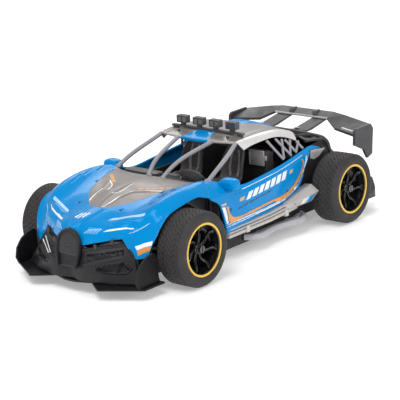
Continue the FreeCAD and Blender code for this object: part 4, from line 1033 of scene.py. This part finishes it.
def bumper_details(grid):
    """Height of the ridges, the mesh slot and the corner duct."""
    face = np.stack([abs(grid[..., 0]), grid[..., 2]], axis=-1)
    in_slot = raised(face, BUMPER_SLOT, 1.0, 0.8)
    height = -2.6 * in_slot + 0.8 * in_slot * mesh_pattern(face[..., 0], face[..., 1], MESH_PITCH)
    height -= raised(face, BUMPER_DUCT, 3.4, 0.9)
    height += ridge(face, BUMPER_DUCT + BUMPER_DUCT[:1], 1.4, 1.2)
    height += ridge(face, [(46, 23), (47.5, 28)], 1.6, 1.0)
    for line, rise in zip(BUMPER_RIDGES, (1.3, 0.9)):
        height += ridge(face, line, rise, 1.5)
    return height


def make_bumper():
    """Lower front face with two small tabs and two pale stripes along the far side's mesh slot, which are
    painted highlights of its edges.
    """
    grid = Surface(lines_to_net(BUMPER_LINES)).even_grid(90, 280)
    face = facing(grid_patch(moved(grid, bumper_details(grid), (0, -1, 0))), (0, -1, 0))
    thicken(piece("bumper", face, BLACK, replaces=["front_bumper"]), 1.8)
    tabs = [block((x - 1.4, x + 1.4), (y - 1.0, y + 1.0), (z - 3, z + 1.5))
            for x, y, z in ((23.5, -167, 42), (37, -160.3, 46.6))]
    soften(piece("bumper_tabs", both_sides(joined(*tabs)), BLACK), 0.3)
    search = tree_of(face)
    # White bars along the far side's mesh slot: painted highlights of its edges.
    marks = []
    for ends in ([(-47.5, -159.5, 37.4), (-26, -172, 29.6)], [(-44, -161, 39.4), (-23.5, -172.5, 32)]):
        on_face = [search.find_nearest(Vector(end))[0] for end in ends]
        marks.append(sweep(np.linspace(on_face[0], on_face[1], 12) + np.array([-0.4, -0.7, 0]),
                           rounded_box(0.4, 0.5, 0.2)))
    piece("bumper_slot_highlights", joined(*marks), WHITE, sharp=50)


GRILLE_FOOT = (-178.0, 22.0)
GRILLE_TILT = math.radians(11)


def horseshoe(scale, count):
    """Outline of the grille in its own plane: a wide arch above a narrower foot."""
    half_width, low, high = 13.5, 21.5, 56.5
    middle = (low + high) / 2
    right = [(half_width * 0.8, low), (half_width, middle - 2)]
    for step in range(12):
        angle = math.radians(10 + 80 * step / 11)
        right.append((half_width * math.cos(angle), middle + 4 + (high - middle - 4) * math.sin(angle)))
    right = [(x * scale, middle + (z - middle) * scale) for x, z in right]
    return resampled(right + [(-x, z) for x, z in reversed(right[:-1])], count)


def grille_place(x, z, forward):
    """Point on the grille's leaning plane, moved forward by some millimetres."""
    y, height = -forward, z - GRILLE_FOOT[1]
    return np.stack([x,
                     GRILLE_FOOT[0] + y * math.cos(GRILLE_TILT) + height * math.sin(GRILLE_TILT),
                     GRILLE_FOOT[1] + height * math.cos(GRILLE_TILT) - y * math.sin(GRILLE_TILT)], axis=-1)


def make_grille():
    """Horseshoe grille: a lip round a leaning plate with raised mesh."""
    outline = horseshoe(0.93, 90)
    rim = grille_place(outline[:, 0], outline[:, 1], np.full(len(outline), 1.0))
    lip = sweep(rim, rounded_box(1.2, 1.9, 0.8), up=(0, -1, -0.2))
    piece("grille_lip", lip, BLACK, replaces=["front_grille"])
    rows = horseshoe(0.9, 240)
    right, left = rows[:120], rows[:119:-1]
    flat = right[:, None] + (left - right)[:, None] * np.linspace(0, 1, 100)[None, :, None]
    across, up = flat[..., 0], flat[..., 1]
    relief = 1.6 * mesh_pattern(across, up, 2.4) * smooth_step(up, 33, 36)
    relief -= 0.9 * (1 - smooth_step(np.hypot(across + 1, up - 27.5), 1.2, 2.0))
    relief += 1.0 * (1 - smooth_step(np.hypot(across, up - 42), 1.0, 1.8))
    plate = grille_place(across, up, 0.7 * relief)
    thicken(piece("grille_mesh", facing(grid_patch(plate), (0, -1, 0)), BLACK), 0.8, 0.05)


# ------------------------------------------------------------------ mirrors, skirts, bars and cage
def superball(centre, size, power, count=28):
    """Rounded block: a ball pressed towards a box."""
    u = np.linspace(-math.pi / 2, math.pi / 2, count)[:, None]
    v = np.linspace(0, 2 * math.pi, 2 * count, endpoint=False)[None]

    def pressed(value):
        return np.sign(value) * np.abs(value) ** power

    grid = np.stack([pressed(np.cos(u)) * pressed(np.cos(v)) * size[0],
                     pressed(np.cos(u)) * pressed(np.sin(v)) * size[1],
                     pressed(np.sin(u)) * np.ones_like(v) * size[2]], axis=-1) + centre
    return grid_patch(grid.transpose(1, 0, 2), wrap=True)


def make_mirrors():
    """Door mirrors on their feet."""
    pod = superball((69.2, -35.8, 72.6), (9.3, 7.0, 5.9), 0.7)
    foot = sweep(smooth_line([(61, -40.5, 73), (65, -38, 74), (68, -35, 75)], 10),
                 rounded_box(2.6, 2.0, 1.2), scale=np.linspace(1.1, 0.9, 10))
    piece("mirrors", both_sides(joined(facing(pod, (0, 0, 1)), foot)), BLUE,
          replaces=["door_mirrors"])


# Sill as (y, top, bottom), and the winglet's cross-section at its two ends.
SKIRT_STATIONS = [(-39, 31, 22.2), (-10, 31.3, 22.2), (23, 31.8, 22.3), (50, 34, 23.6), (66, 36.6, 25)]
WINGLET_FRONT = [(62, 48, 33.8), (67, 48, 34), (69.6, 48, 32), (68.5, 48, 26.5), (62, 48, 26)]
WINGLET_REAR = [(62, 88.4, 43), (70, 88.4, 44), (78.8, 88.4, 38.4), (71, 87.5, 27.5), (62, 87.5, 27)]


def skirt_ring(y, top, bottom):
    """Cross-section of the sill: a top lip and two ribs on the outer face."""
    span = top - bottom
    shares = [(66.0, 1.0), (68.6, 1.0), (69.6, 0.95), (69.7, 0.84), (67.6, 0.80), (67.4, 0.68), (69.7, 0.64),
              (69.7, 0.52), (67.8, 0.48), (67.8, 0.38), (69.6, 0.34), (69.5, 0.06), (68.8, 0.0), (61.0, 0.0),
              (61.0, 0.5)]
    return [(x, y, bottom + span * share) for x, share in shares]


# Roughly square to the winglet's lower outer face.
WINGLET_OUTWARD = np.array([0.8, 0.0, -0.6])


def winglet_face(y, share):
    """Point just off the lower outer face of the winglet, from its bottom (0) to its edge (1)."""
    place = (y - WINGLET_FRONT[0][1]) / (WINGLET_REAR[0][1] - WINGLET_FRONT[0][1])
    low, edge = [np.array(WINGLET_FRONT[k], float) * (1 - place) + np.array(WINGLET_REAR[k], float) * place
                 for k in (3, 2)]
    return low + (edge - low) * share + 0.3 * WINGLET_OUTWARD


def make_skirts():
    """Sills with their clips, notches and winglets, and the patches on the winglets."""
    stations = np.array(SKIRT_STATIONS, float)
    ys = np.linspace(stations[0, 0], stations[-1, 0], 40)
    tops, bottoms = [np.interp(ys, stations[:, 0], stations[:, column]) for column in (1, 2)]
    rings = [skirt_ring(*station) for station in zip(ys, tops, bottoms)]
    clips = [block((60.9, 70.3), (y, y + 5), (22, 28.5)) for y in (-14, 46)]
    front, rear = np.array(WINGLET_FRONT), np.array(WINGLET_REAR)
    winglet = loft([front * (1 - share) + rear * share for share in np.linspace(0, 1, 6)])
    body = both_sides(joined(loft(rings), winglet, *clips))
    soften(piece("side_sills", body, SILVER, replaces=["side_skirts"]), 0.15, 25)
    notch = block((66.5, 71.2), (58.5, 67), (30.6, 34.6))
    soften(piece("sill_notches", both_sides(notch), INTERIOR), 0.3)
    for name, start, end, material in (("winglet_white_patch", 70, 78, WHITE),
                                       ("winglet_blue_patch", 78, 85, BLUE)):
        corners = [winglet_face(y, share) for y, share in
                   ((start, 0.1), (end, 0.1), (end, 0.8), (start, 0.8))]
        back = [point - WINGLET_OUTWARD for point in corners]
        soften(piece(name, both_sides(loft([corners, back])), material), 0.1)


# Seen from above.
STEP_BAR_PATH = [(60.3, -5.5), (66, -2), (70, 2), (70.8, 12), (67.8, 28), (68.3, 41), (71.6, 54), (72.6, 66),
                 (69.6, 76), (60.3, 84)]
STEP_RAIL_PATH = [(60.8, -2), (63.5, 4), (64, 20), (63.4, 40), (64.5, 58), (63, 74), (60.8, 80)]


def make_step_bars():
    """Round bar along each side, with a flat rail inside it and two feet."""
    bar = sweep(smooth_line([(x, y, 14) for x, y in STEP_BAR_PATH], 90), circle(2.9, 20))
    rail = sweep(smooth_line([(x, y, 14.6) for x, y in STEP_RAIL_PATH], 60), rounded_box(2.2, 1.0, 0.5))
    feet = [sweep([(60.5, y, 14), (66, y, 14), (70.5, y, 14)], rounded_box(2.8, 1.2, 0.5)) for y in (14, 60)]
    # The bars take the lighter copy of the frame grey, which is painted light.
    piece("running_bars", both_sides(joined(bar, rail, *feet)), LIGHTENED_STEP_FRAME_GREY,
          replaces=["step_bars"], sharp=50)


def make_cage():
    """Two bars on each side, from the bonnet over the windscreen's opening to the roof."""
    outer = smooth_line([(53.5, -48, 75.2), (52, -32, 82.5), (48.5, -12, 90), (44, 6, 97)], 40)
    inner = smooth_line([(8.2, -56.6, 74.4), (10.8, -47, 82), (15.2, -24, 91.2), (20, 2, 97.4)], 40)
    bars = joined(*[sweep(line, circle(2.0, 20)) for line in (outer, inner)])
    feet = [disc((53.5, -47.6, 76.6), (0.1, -0.5, 1), 3.0, 1.4),
            disc((8.2, -56, 75.4), (0, -0.1, 1), 3.0, 1.2)]
    piece("windscreen_bars", both_sides(joined(bars, *feet)), FRAME_GREY,
          replaces=["cage_pillars"], sharp=50)


NET_BARS = [((51, 45, 93), (61.2, 57, 73.6)), ((51.4, 58, 92), (60.8, 70, 74.4)),
            ((52, 72, 88.4), (60.4, 79, 75.4)), ((53.6, 88, 83.6), (59.8, 90.5, 76.6)),
            ((51.6, 68, 89.6), (61, 58, 74)), ((52.4, 80, 86.4), (60.6, 69, 75)),
            ((53.4, 92, 82.6), (60, 79, 76))]


def make_window_nets():
    """Crossing bars in the rear quarter openings."""
    section = rounded_box(1.15, 0.9, 0.4)
    bars = [sweep(np.linspace(start, end, 8), section, up=(1, 0, 0)) for start, end in NET_BARS]
    piece("quarter_lattice", both_sides(joined(*bars)), FRAME_GREY, replaces=["window_nets"],
          sharp=40)


# ------------------------------------------------------------------ cabin and wheel arches
ARCH_R = 36.8


def arch_liner(centre):
    """Ribbed inner arch round a front wheel, with a wall on its inner side."""
    angles = np.linspace(math.radians(-98), math.radians(98), 90)
    across = np.linspace(50, 65.5, 32)
    rib = 0.5 * smooth_step(np.cos(across * 2 * math.pi / 4), 0.2, 0.7)
    liner = round_wheel(centre, across, ARCH_R - rib, angles)
    wall = round_wheel(centre, 50, np.linspace(18, ARCH_R, 20), angles)
    return joined(facing(grid_patch(liner), (0, 0, -1)), facing(grid_patch(wall), (1, 0, 0)))


def make_arch_liners():
    """Inner arches of the front wheels and the walls behind them."""
    thicken(piece("arch_liners", both_sides(arch_liner(WHEEL_CENTRE)), BLACK), 1.0, 0.1)
    footwell = joined(block((49, 50.5), (-80, -39), (28, 64)), block((50, 65), (-47.5, -46), (28, 60)))
    soften(piece("footwell_walls", both_sides(footwell), BLACK), 0.2)


# The seat's middle line as (y, z) from the cushion's front edge up to the head, and for each of its
# points the half width of the seat and the rise of its sides.
SEAT_LINE = [(5, 52.5), (12, 55), (22, 54), (27, 57.5), (30, 68), (32.5, 80), (34.5, 91)]
SEAT_HALF_WIDTHS = [11, 12, 12, 12, 12, 10.5, 6.5]
SEAT_BOLSTERS = [2.5, 4.0, 4.5, 5.5, 5.5, 3.0, 1.0]
SEAT_PLACES = (24, -24)
# Distance from the seat's middle, y and z.
BELT_LINE = [(3.5, 32, 84), (5, 29, 70), (4, 26, 60)]


def seat_shell(x):
    """Bucket seat: a padded shell with raised sides, narrow at the head."""
    rows, cols = 60, 36
    line = smooth_line(SEAT_LINE, rows)
    share = np.linspace(0, len(SEAT_LINE) - 1, rows)
    spread = natural_weights(np.arange(len(SEAT_LINE), dtype=float), share)
    width = spread @ np.array(SEAT_HALF_WIDTHS, float)
    bolster = spread @ np.array(SEAT_BOLSTERS, float)
    along = np.gradient(line, axis=0)
    along /= np.linalg.norm(along, axis=1, keepdims=True)
    forward = np.stack([-along[:, 1], along[:, 0]], axis=1)
    place = np.linspace(-1, 1, cols)
    rise = bolster[:, None] * smooth_step(abs(place), 0.5, 0.95)[None]
    rise -= 0.5 * (np.abs((share[:, None] * 2.2) % 1 - 0.5) < 0.08) * (abs(place) < 0.5)[None]
    grid = np.empty((rows, cols, 3))
    grid[..., 0] = x + width[:, None] * place
    grid[..., 1] = line[:, :1] + forward[:, :1] * rise
    grid[..., 2] = line[:, 1:] + forward[:, 1:] * rise
    return facing(grid_patch(grid), (0, -1, 0.5))


def make_seats():
    """Two seats with their bases and shoulder belts."""
    shells, bases, belts = [], [], []
    for x in SEAT_PLACES:
        shell = seat_shell(x)
        shells.append(shell)
        bases.append(block((x - 9, x + 9), (8, 28), (CABIN_FLOOR_Z + 0.3, 51)))
        for side in (-1, 1):
            line = [(x + side * out, y, z) for out, y, z in BELT_LINE]
            belts.append(print_line(tree_of(shell), line, 2.0, 20, (0, -1, 0), 0.3))
    thicken(piece("seat_shells", joined(*shells), SEAT, replaces=["bucket_seats"]), 3.0, 0.5)
    soften(piece("seat_bases", joined(*bases), INTERIOR), 0.8)
    thicken(piece("seat_belts", joined(*belts), PALE_BOX), 0.5, 0.1)


def make_dashboard_details():
    """Hood over the instruments, vents, screen and a row of knobs on the dashboard."""
    hood_line = [(13, -33, 72), (17, -34, 75.2), (24, -34.5, 76.4), (31, -34, 75.2), (35, -33, 72)]
    hood = sweep(smooth_line(hood_line, 24), rounded_box(3.2, 0.9, 0.5), up=(0, 1, 0))
    vents = [block((x, x + 8), (-30.6 - k * 1.2, -29.9 - k * 1.2), (67.3 + k * 1.5, 68.2 + k * 1.5))
             for x in (-46, -18, 38) for k in range(3)]
    screen = block((-8, 6), (-33.5, -28.4), (64, 71.5))
    shelf = block((-50, -12), (-42, -31), (70.4, 72.6))
    soften(piece("dash_details", joined(hood, screen, shelf, *vents), SEAT), 0.4)
    gauges = [disc((x, -30.2, 69.4), (0, 1, 0.25), 3.0, 1.0) for x in (20.4, 27.8)]
    knobs = [disc((x, -27.4, 63), (0, 1, 0.2), 1.1, 1.4) for x in (-5, -1, 3)]
    soften(piece("dash_dials", joined(*gauges, *knobs), PALE_BOX), 0.2)


def make_bulkhead_details():
    """Pale box with a raised frame and latches behind the near seat."""
    box_front = block((33, 50), (41.2, 42.6), (69, 83.5))
    frame_bars = [block((33, 50), (40.6, 41.4), (82.3, 83.5)), block((33, 34.2), (40.6, 41.4), (69, 83.5))]
    latches = [block((x, x + 2.4), (40.2, 41.4), (75, 79.5)) for x in (-46, -40, 51.4)]
    soften(piece("box_frame", joined(box_front, *frame_bars, *latches), PALE_BOX), 0.3)


def make_wing_marks():
    """Short pale dashes on the left wing section and a pale line along the wing's rear edge, which is a
    painted highlight.
    """
    start, end = np.array([(52.7, 165.4, 80.5), (68.5, 161.1, 79.7)])
    back = np.array([1.1, 1.5, 0.3])
    down = np.array([0, 0, 0.5])
    dashes = []
    for number in range(5):
        near, far = [start + (end - start) * (number + share) / 5 for share in (0, 0.7)]
        top = [near, far, far + back, near + back]
        dashes.append(loft([top, [point - down for point in top]]))
    soften(piece("wing_dashes", joined(*dashes), WHITE), 0.05)
    # Pale line along the wing's edge: a painted highlight.
    edge = sweep(np.linspace((-32, 171.9, 86.4), (32, 171.9, 86.4), 12), rounded_box(0.45, 0.8, 0.2))
    piece("wing_edge_highlight", edge, PALE_SILVER, sharp=50)


# ------------------------------------------------------------------ wheels
TREAD_GROOVES = 44        # round the tyre, in each lane
TREAD_LANE = 3.7          # width of a lane
TREAD_DEPTH = 0.9
TREAD_HALF = 11.1         # half the width that has grooves


def tread(angle, across):
    """Radial change of the tread: slanted grooves that lean the other way in each lane."""
    lane = np.floor(np.abs(across) / TREAD_LANE)
    share = np.abs(across) / TREAD_LANE - lane
    lean = np.where(lane % 2 == 0, 1.0, -1.0) * np.sign(across + 1e-9)
    phase = angle * TREAD_GROOVES / (2 * math.pi) + lean * share * 0.8 + lane * 0.5
    from_middle = np.abs(phase - np.floor(phase) - 0.5)
    groove = 1 - smooth_step(from_middle, 0.09, 0.2)
    ends = smooth_step(share, 0.04, 0.16) * (1 - smooth_step(share, 0.84, 0.96))
    return -TREAD_DEPTH * groove * ends * (np.abs(across) < TREAD_HALF)


def tyre_profile():
    """Outer surface from the inner bead, over the tread, to the outer bead."""
    shoulder = [(-13.0, 24.1), (-13.9, 25.4), (-14.45, 28.0), (-14.1, 30.4), (-13.0, 32.2), (-11.6, 33.2)]
    inner = smooth_line(shoulder, 22)
    flat = [(x, TYRE_R - 0.12 * (x / 10.8) ** 2) for x in np.linspace(-10.8, 10.8, 58)]
    outer = smooth_line([(11.6, 33.2), (13.0, 32.2), (14.1, 30.4), (14.45, 28.0), (14.3, 26.2), (14.0, 24.9),
                         (13.6, 24.2)], 26)
    return np.vstack([inner, flat, outer])


def rim_profile():
    """Inside of the dish from the outer lip to the back, and the barrel's outside."""
    return [(12.5, 22.0), (12.3, 21.6), (11.0, 21.3), (9.5, 21.2), (8.5, 20.6), (2.0, 20.2),
            (-4.0, 20.0), (-12.4, 20.6), (-13.0, 21.2), (-13.0, 23.6), (-12.6, 24.0), (12.0, 24.0),
            (12.5, 23.6), (12.5, 22.0)]


def spoke(number, count, centre):
    """Thin, S-curved spoke with a groove along its face."""
    reach = np.linspace(3.5, 21.0, 26)
    share = (reach - reach[0]) / (reach[-1] - reach[0])
    turn = 2 * math.pi * number / count + 0.11 * np.sin(2 * math.pi * share) + 0.05
    path = np.stack([centre[0] + 5.2 + 5.0 * share**1.6, centre[1] + reach * np.sin(turn),
                     centre[2] + reach * np.cos(turn)], axis=1)
    section = [(-1.25, -1.6), (1.25, -1.6), (1.15, 0.9), (0.95, 1.2), (0.65, 1.2), (0.45, 0.5),
               (-0.45, 0.5), (-0.65, 1.2), (-0.95, 1.2), (-1.15, 0.9)]
    scale = 1.15 - 0.35 * share + 0.25 * share**4
    return sweep(path, section, scale=scale, up=(1, 0, 0))


def hub(centre):
    """Stepped hub with a raised collar round the screw."""
    profile = [(-7.5, 2.2), (-7.5, 5.0), (4.0, 5.2), (6.6, 5.2), (7.4, 4.8), (7.8, 4.2), (8.9, 4.1),
               (9.2, 3.8), (9.2, 2.2), (-7.5, 2.2)]
    return revolved(profile, centre, 40)


def ring_profile():
    """Rounded bead of the coloured ring."""
    middle_x, middle_r, half_x, half_r = 13.3, 23.0, 0.75, 1.05
    return [(middle_x + half_x * math.cos(a), middle_r + half_r * math.sin(a))
            for a in np.linspace(0, 2 * math.pi, 17)]


def facing_out(patch, centre):
    """Faces turned away from the wheel's axis on the whole."""
    points, faces = patch
    corners = points[np.array(faces)]
    normal = np.cross(corners[:, 1] - corners[:, 0], corners[:, 2] - corners[:, 0])
    away = corners.mean(axis=1) - centre
    away[:, 0] = 0
    if (normal * away).sum() < 0:
        faces = [tuple(reversed(face)) for face in faces]
    return points, faces


SPOKES = 7


def make_wheel(name, centre, left, body):
    """Tyre, rim with spokes, and coloured ring of one wheel."""
    tyre = facing_out(revolved(tyre_profile(), centre, 400, tread), centre)
    rim = joined(facing_out(revolved(rim_profile(), centre, 96), centre), hub(centre),
                 *[spoke(number, SPOKES, centre) for number in range(SPOKES)])
    ring = revolved(ring_profile(), centre, 96)
    if not left:
        tyre, rim, ring = mirrored(tyre), mirrored(rim), mirrored(ring)
    piece(name + "_tread", tyre, RUBBER, body, [name + "_tyre"])
    piece(name + "_dish", rim, RIM_BLACK, body, [name + "_rim"], sharp=32)
    piece(name + "_ring", ring, YELLOW, body)


def make_wheels():
    """The front wheels ride on bodies of their own, the rear ones share theirs."""
    for side in ("left", "right"):
        make_wheel("front_" + side, WHEEL_CENTRE, side == "left", "front_" + side + "_wheel")
    for side in ("left", "right"):
        make_wheel("rear_" + side, REAR_WHEEL_CENTRE, side == "left", "rear_wheels")


# ------------------------------------------------------------------ camera, light and floor
# Place and target are in metres.
CAMERA_PLACE = (0.988765, -1.204409, 0.475664)
CAMERA_TARGET = (0, 0.00621, 0.03777)
CAMERA_ROLL_DEG = -2.31
CAMERA_LENS = 155.36


def make_camera():
    """Camera that sees the car as the photo does, tilted a little to one side."""
    data = bpy.data.cameras.new("camera")
    data.lens = CAMERA_LENS
    data.sensor_width = 36.0
    camera = bpy.data.objects.new("camera", data)
    bpy.context.scene.collection.objects.link(camera)
    place = Vector(CAMERA_PLACE)
    forward = (Vector(CAMERA_TARGET) - place).normalized()
    roll = math.radians(CAMERA_ROLL_DEG)
    right = forward.cross(Vector((0, 0, 1))).normalized()
    up = right.cross(forward)
    turned_right = right * math.cos(roll) + up * math.sin(roll)
    turned_up = up * math.cos(roll) - right * math.sin(roll)
    camera.matrix_world = camera_matrix(place, turned_right, turned_up, forward)
    bpy.context.scene.camera = camera


def camera_matrix(place, right, up, forward):
    """Placement of a camera from its axes."""
    matrix = np.eye(4)
    matrix[:3, 0] = right
    matrix[:3, 1] = up
    matrix[:3, 2] = -forward
    matrix[:3, 3] = place
    return Matrix(matrix.tolist())


FLOOR_HALF = 4.0
FLOOR_GLOW = 0.3


def make_floor():
    """Pale floor that glows a little, so that it fades into the background."""
    corners = [(FLOOR_HALF * x, FLOOR_HALF * y, 0) for x, y in ((-1, -1), (1, -1), (1, 1), (-1, 1))]
    mesh = bpy.data.meshes.new("floor")
    mesh.from_pydata(corners, [], [(0, 1, 2, 3)])
    floor = bpy.data.objects.new("floor", mesh)
    bpy.context.scene.collection.objects.link(floor)
    material = finish("pale_floor", (0.9, 0.9, 0.9), 0.7, grain=60, bump=0.0, variation=0.01, wear_and_highlight=0.0)
    glow = material.node_tree.nodes["Principled BSDF"].inputs
    glow["Emission Color"].default_value = (1, 1, 1, 1)
    glow["Emission Strength"].default_value = FLOOR_GLOW
    mesh.materials.append(material)


def area_light(name, place, target, size, power):
    """Lamp panel that looks at a target."""
    data = bpy.data.lights.new(name, "AREA")
    data.shape = "RECTANGLE"
    data.size, data.size_y = size
    data.energy = power
    light = bpy.data.objects.new(name, data)
    bpy.context.scene.collection.objects.link(light)
    light.location = place
    light.rotation_euler = (Vector(target) - Vector(place)).to_track_quat("-Z", "Y").to_euler()


def make_light():
    """White surroundings and three lamp panels."""
    world = bpy.data.worlds.new("studio")
    world.use_nodes = True
    sky = world.node_tree.nodes["Background"].inputs
    sky["Color"].default_value = (1.0, 1.0, 1.0, 1)
    sky["Strength"].default_value = 0.55
    bpy.context.scene.world = world
    area_light("key", (0.2, -0.9, 1.6), (0, 0, 0), (0.9, 0.9), 15)
    area_light("fill", (1.7, -0.2, 0.8), (0, 0, 0.05), (0.9, 0.5), 7)
    area_light("back", (-0.8, 1.2, 1.2), (0, 0, 0.05), (1.2, 0.8), 8)
    bpy.context.scene.view_settings.view_transform = "Standard"


# ------------------------------------------------------------------ carried-over CAD nodes
CAD_FINISHES = {
    "front_splitter": DARKENED_SPLITTER_PLASTIC, "rear_diffuser": BLACK, "body_screws": DARK_STEEL,
    "light_bar": WING_GREY, "roof_lamps": WING_GREY, "lamp_lenses": LENS,
    "wing_blade": WING_GREY, "wing_end_plates": WING_GREY, "wing_struts": WING_GREY,
    "chassis_pan": CHASSIS, "battery_door": CHASSIS, "battery_pack": SLEEVE, "receiver_board": BOARD,
    "switch_housing": CHASSIS, "power_switch": FRAME_GREY, "cabin_tray": INTERIOR,
    "dashboard": INTERIOR, "steering_wheel": INTERIOR, "cabin_bulkhead": INTERIOR,
    "front_axle_carrier": CHASSIS, "kingpins": STEEL, "left_knuckle": CHASSIS, "right_knuckle": CHASSIS,
    "tie_rod": CHASSIS, "steering_motor": CHASSIS, "servo_horn": FRAME_GREY,
    "drive_motor": STEEL, "motor_pinion": STEEL, "rear_axle": STEEL, "gearbox_case": CHASSIS,
    "rear_bearings": STEEL, "rear_axle_carrier": CHASSIS,
    "front_left_hub_screw": RIM_BLACK, "front_right_hub_screw": RIM_BLACK, "rear_hub_screws": RIM_BLACK,
}
PART_EDGE = 0.4
SMALL_EDGE = 0.12
SMALL_NODES = {"lamp_lenses", "body_screws", "kingpins", "rear_bearings", "motor_pinion", "rear_axle",
               "front_left_hub_screw", "front_right_hub_screw", "rear_hub_screws", "receiver_board"}


def make_cad_nodes():
    """The CAD parts that no visible piece replaces."""
    for node, material in CAD_FINISHES.items():
        keep_cad(node, material, SMALL_EDGE if node in SMALL_NODES else PART_EDGE)


make_camera()
make_hood()
make_doors()
make_tail_panels()
make_roof()
make_bumper()
make_grille()
make_mirrors()
make_skirts()
make_step_bars()
make_cage()
make_window_nets()
make_arch_liners()
make_seats()
make_dashboard_details()
make_bulkhead_details()
make_wing_marks()
make_wheels()
make_cad_nodes()
make_floor()
make_light()
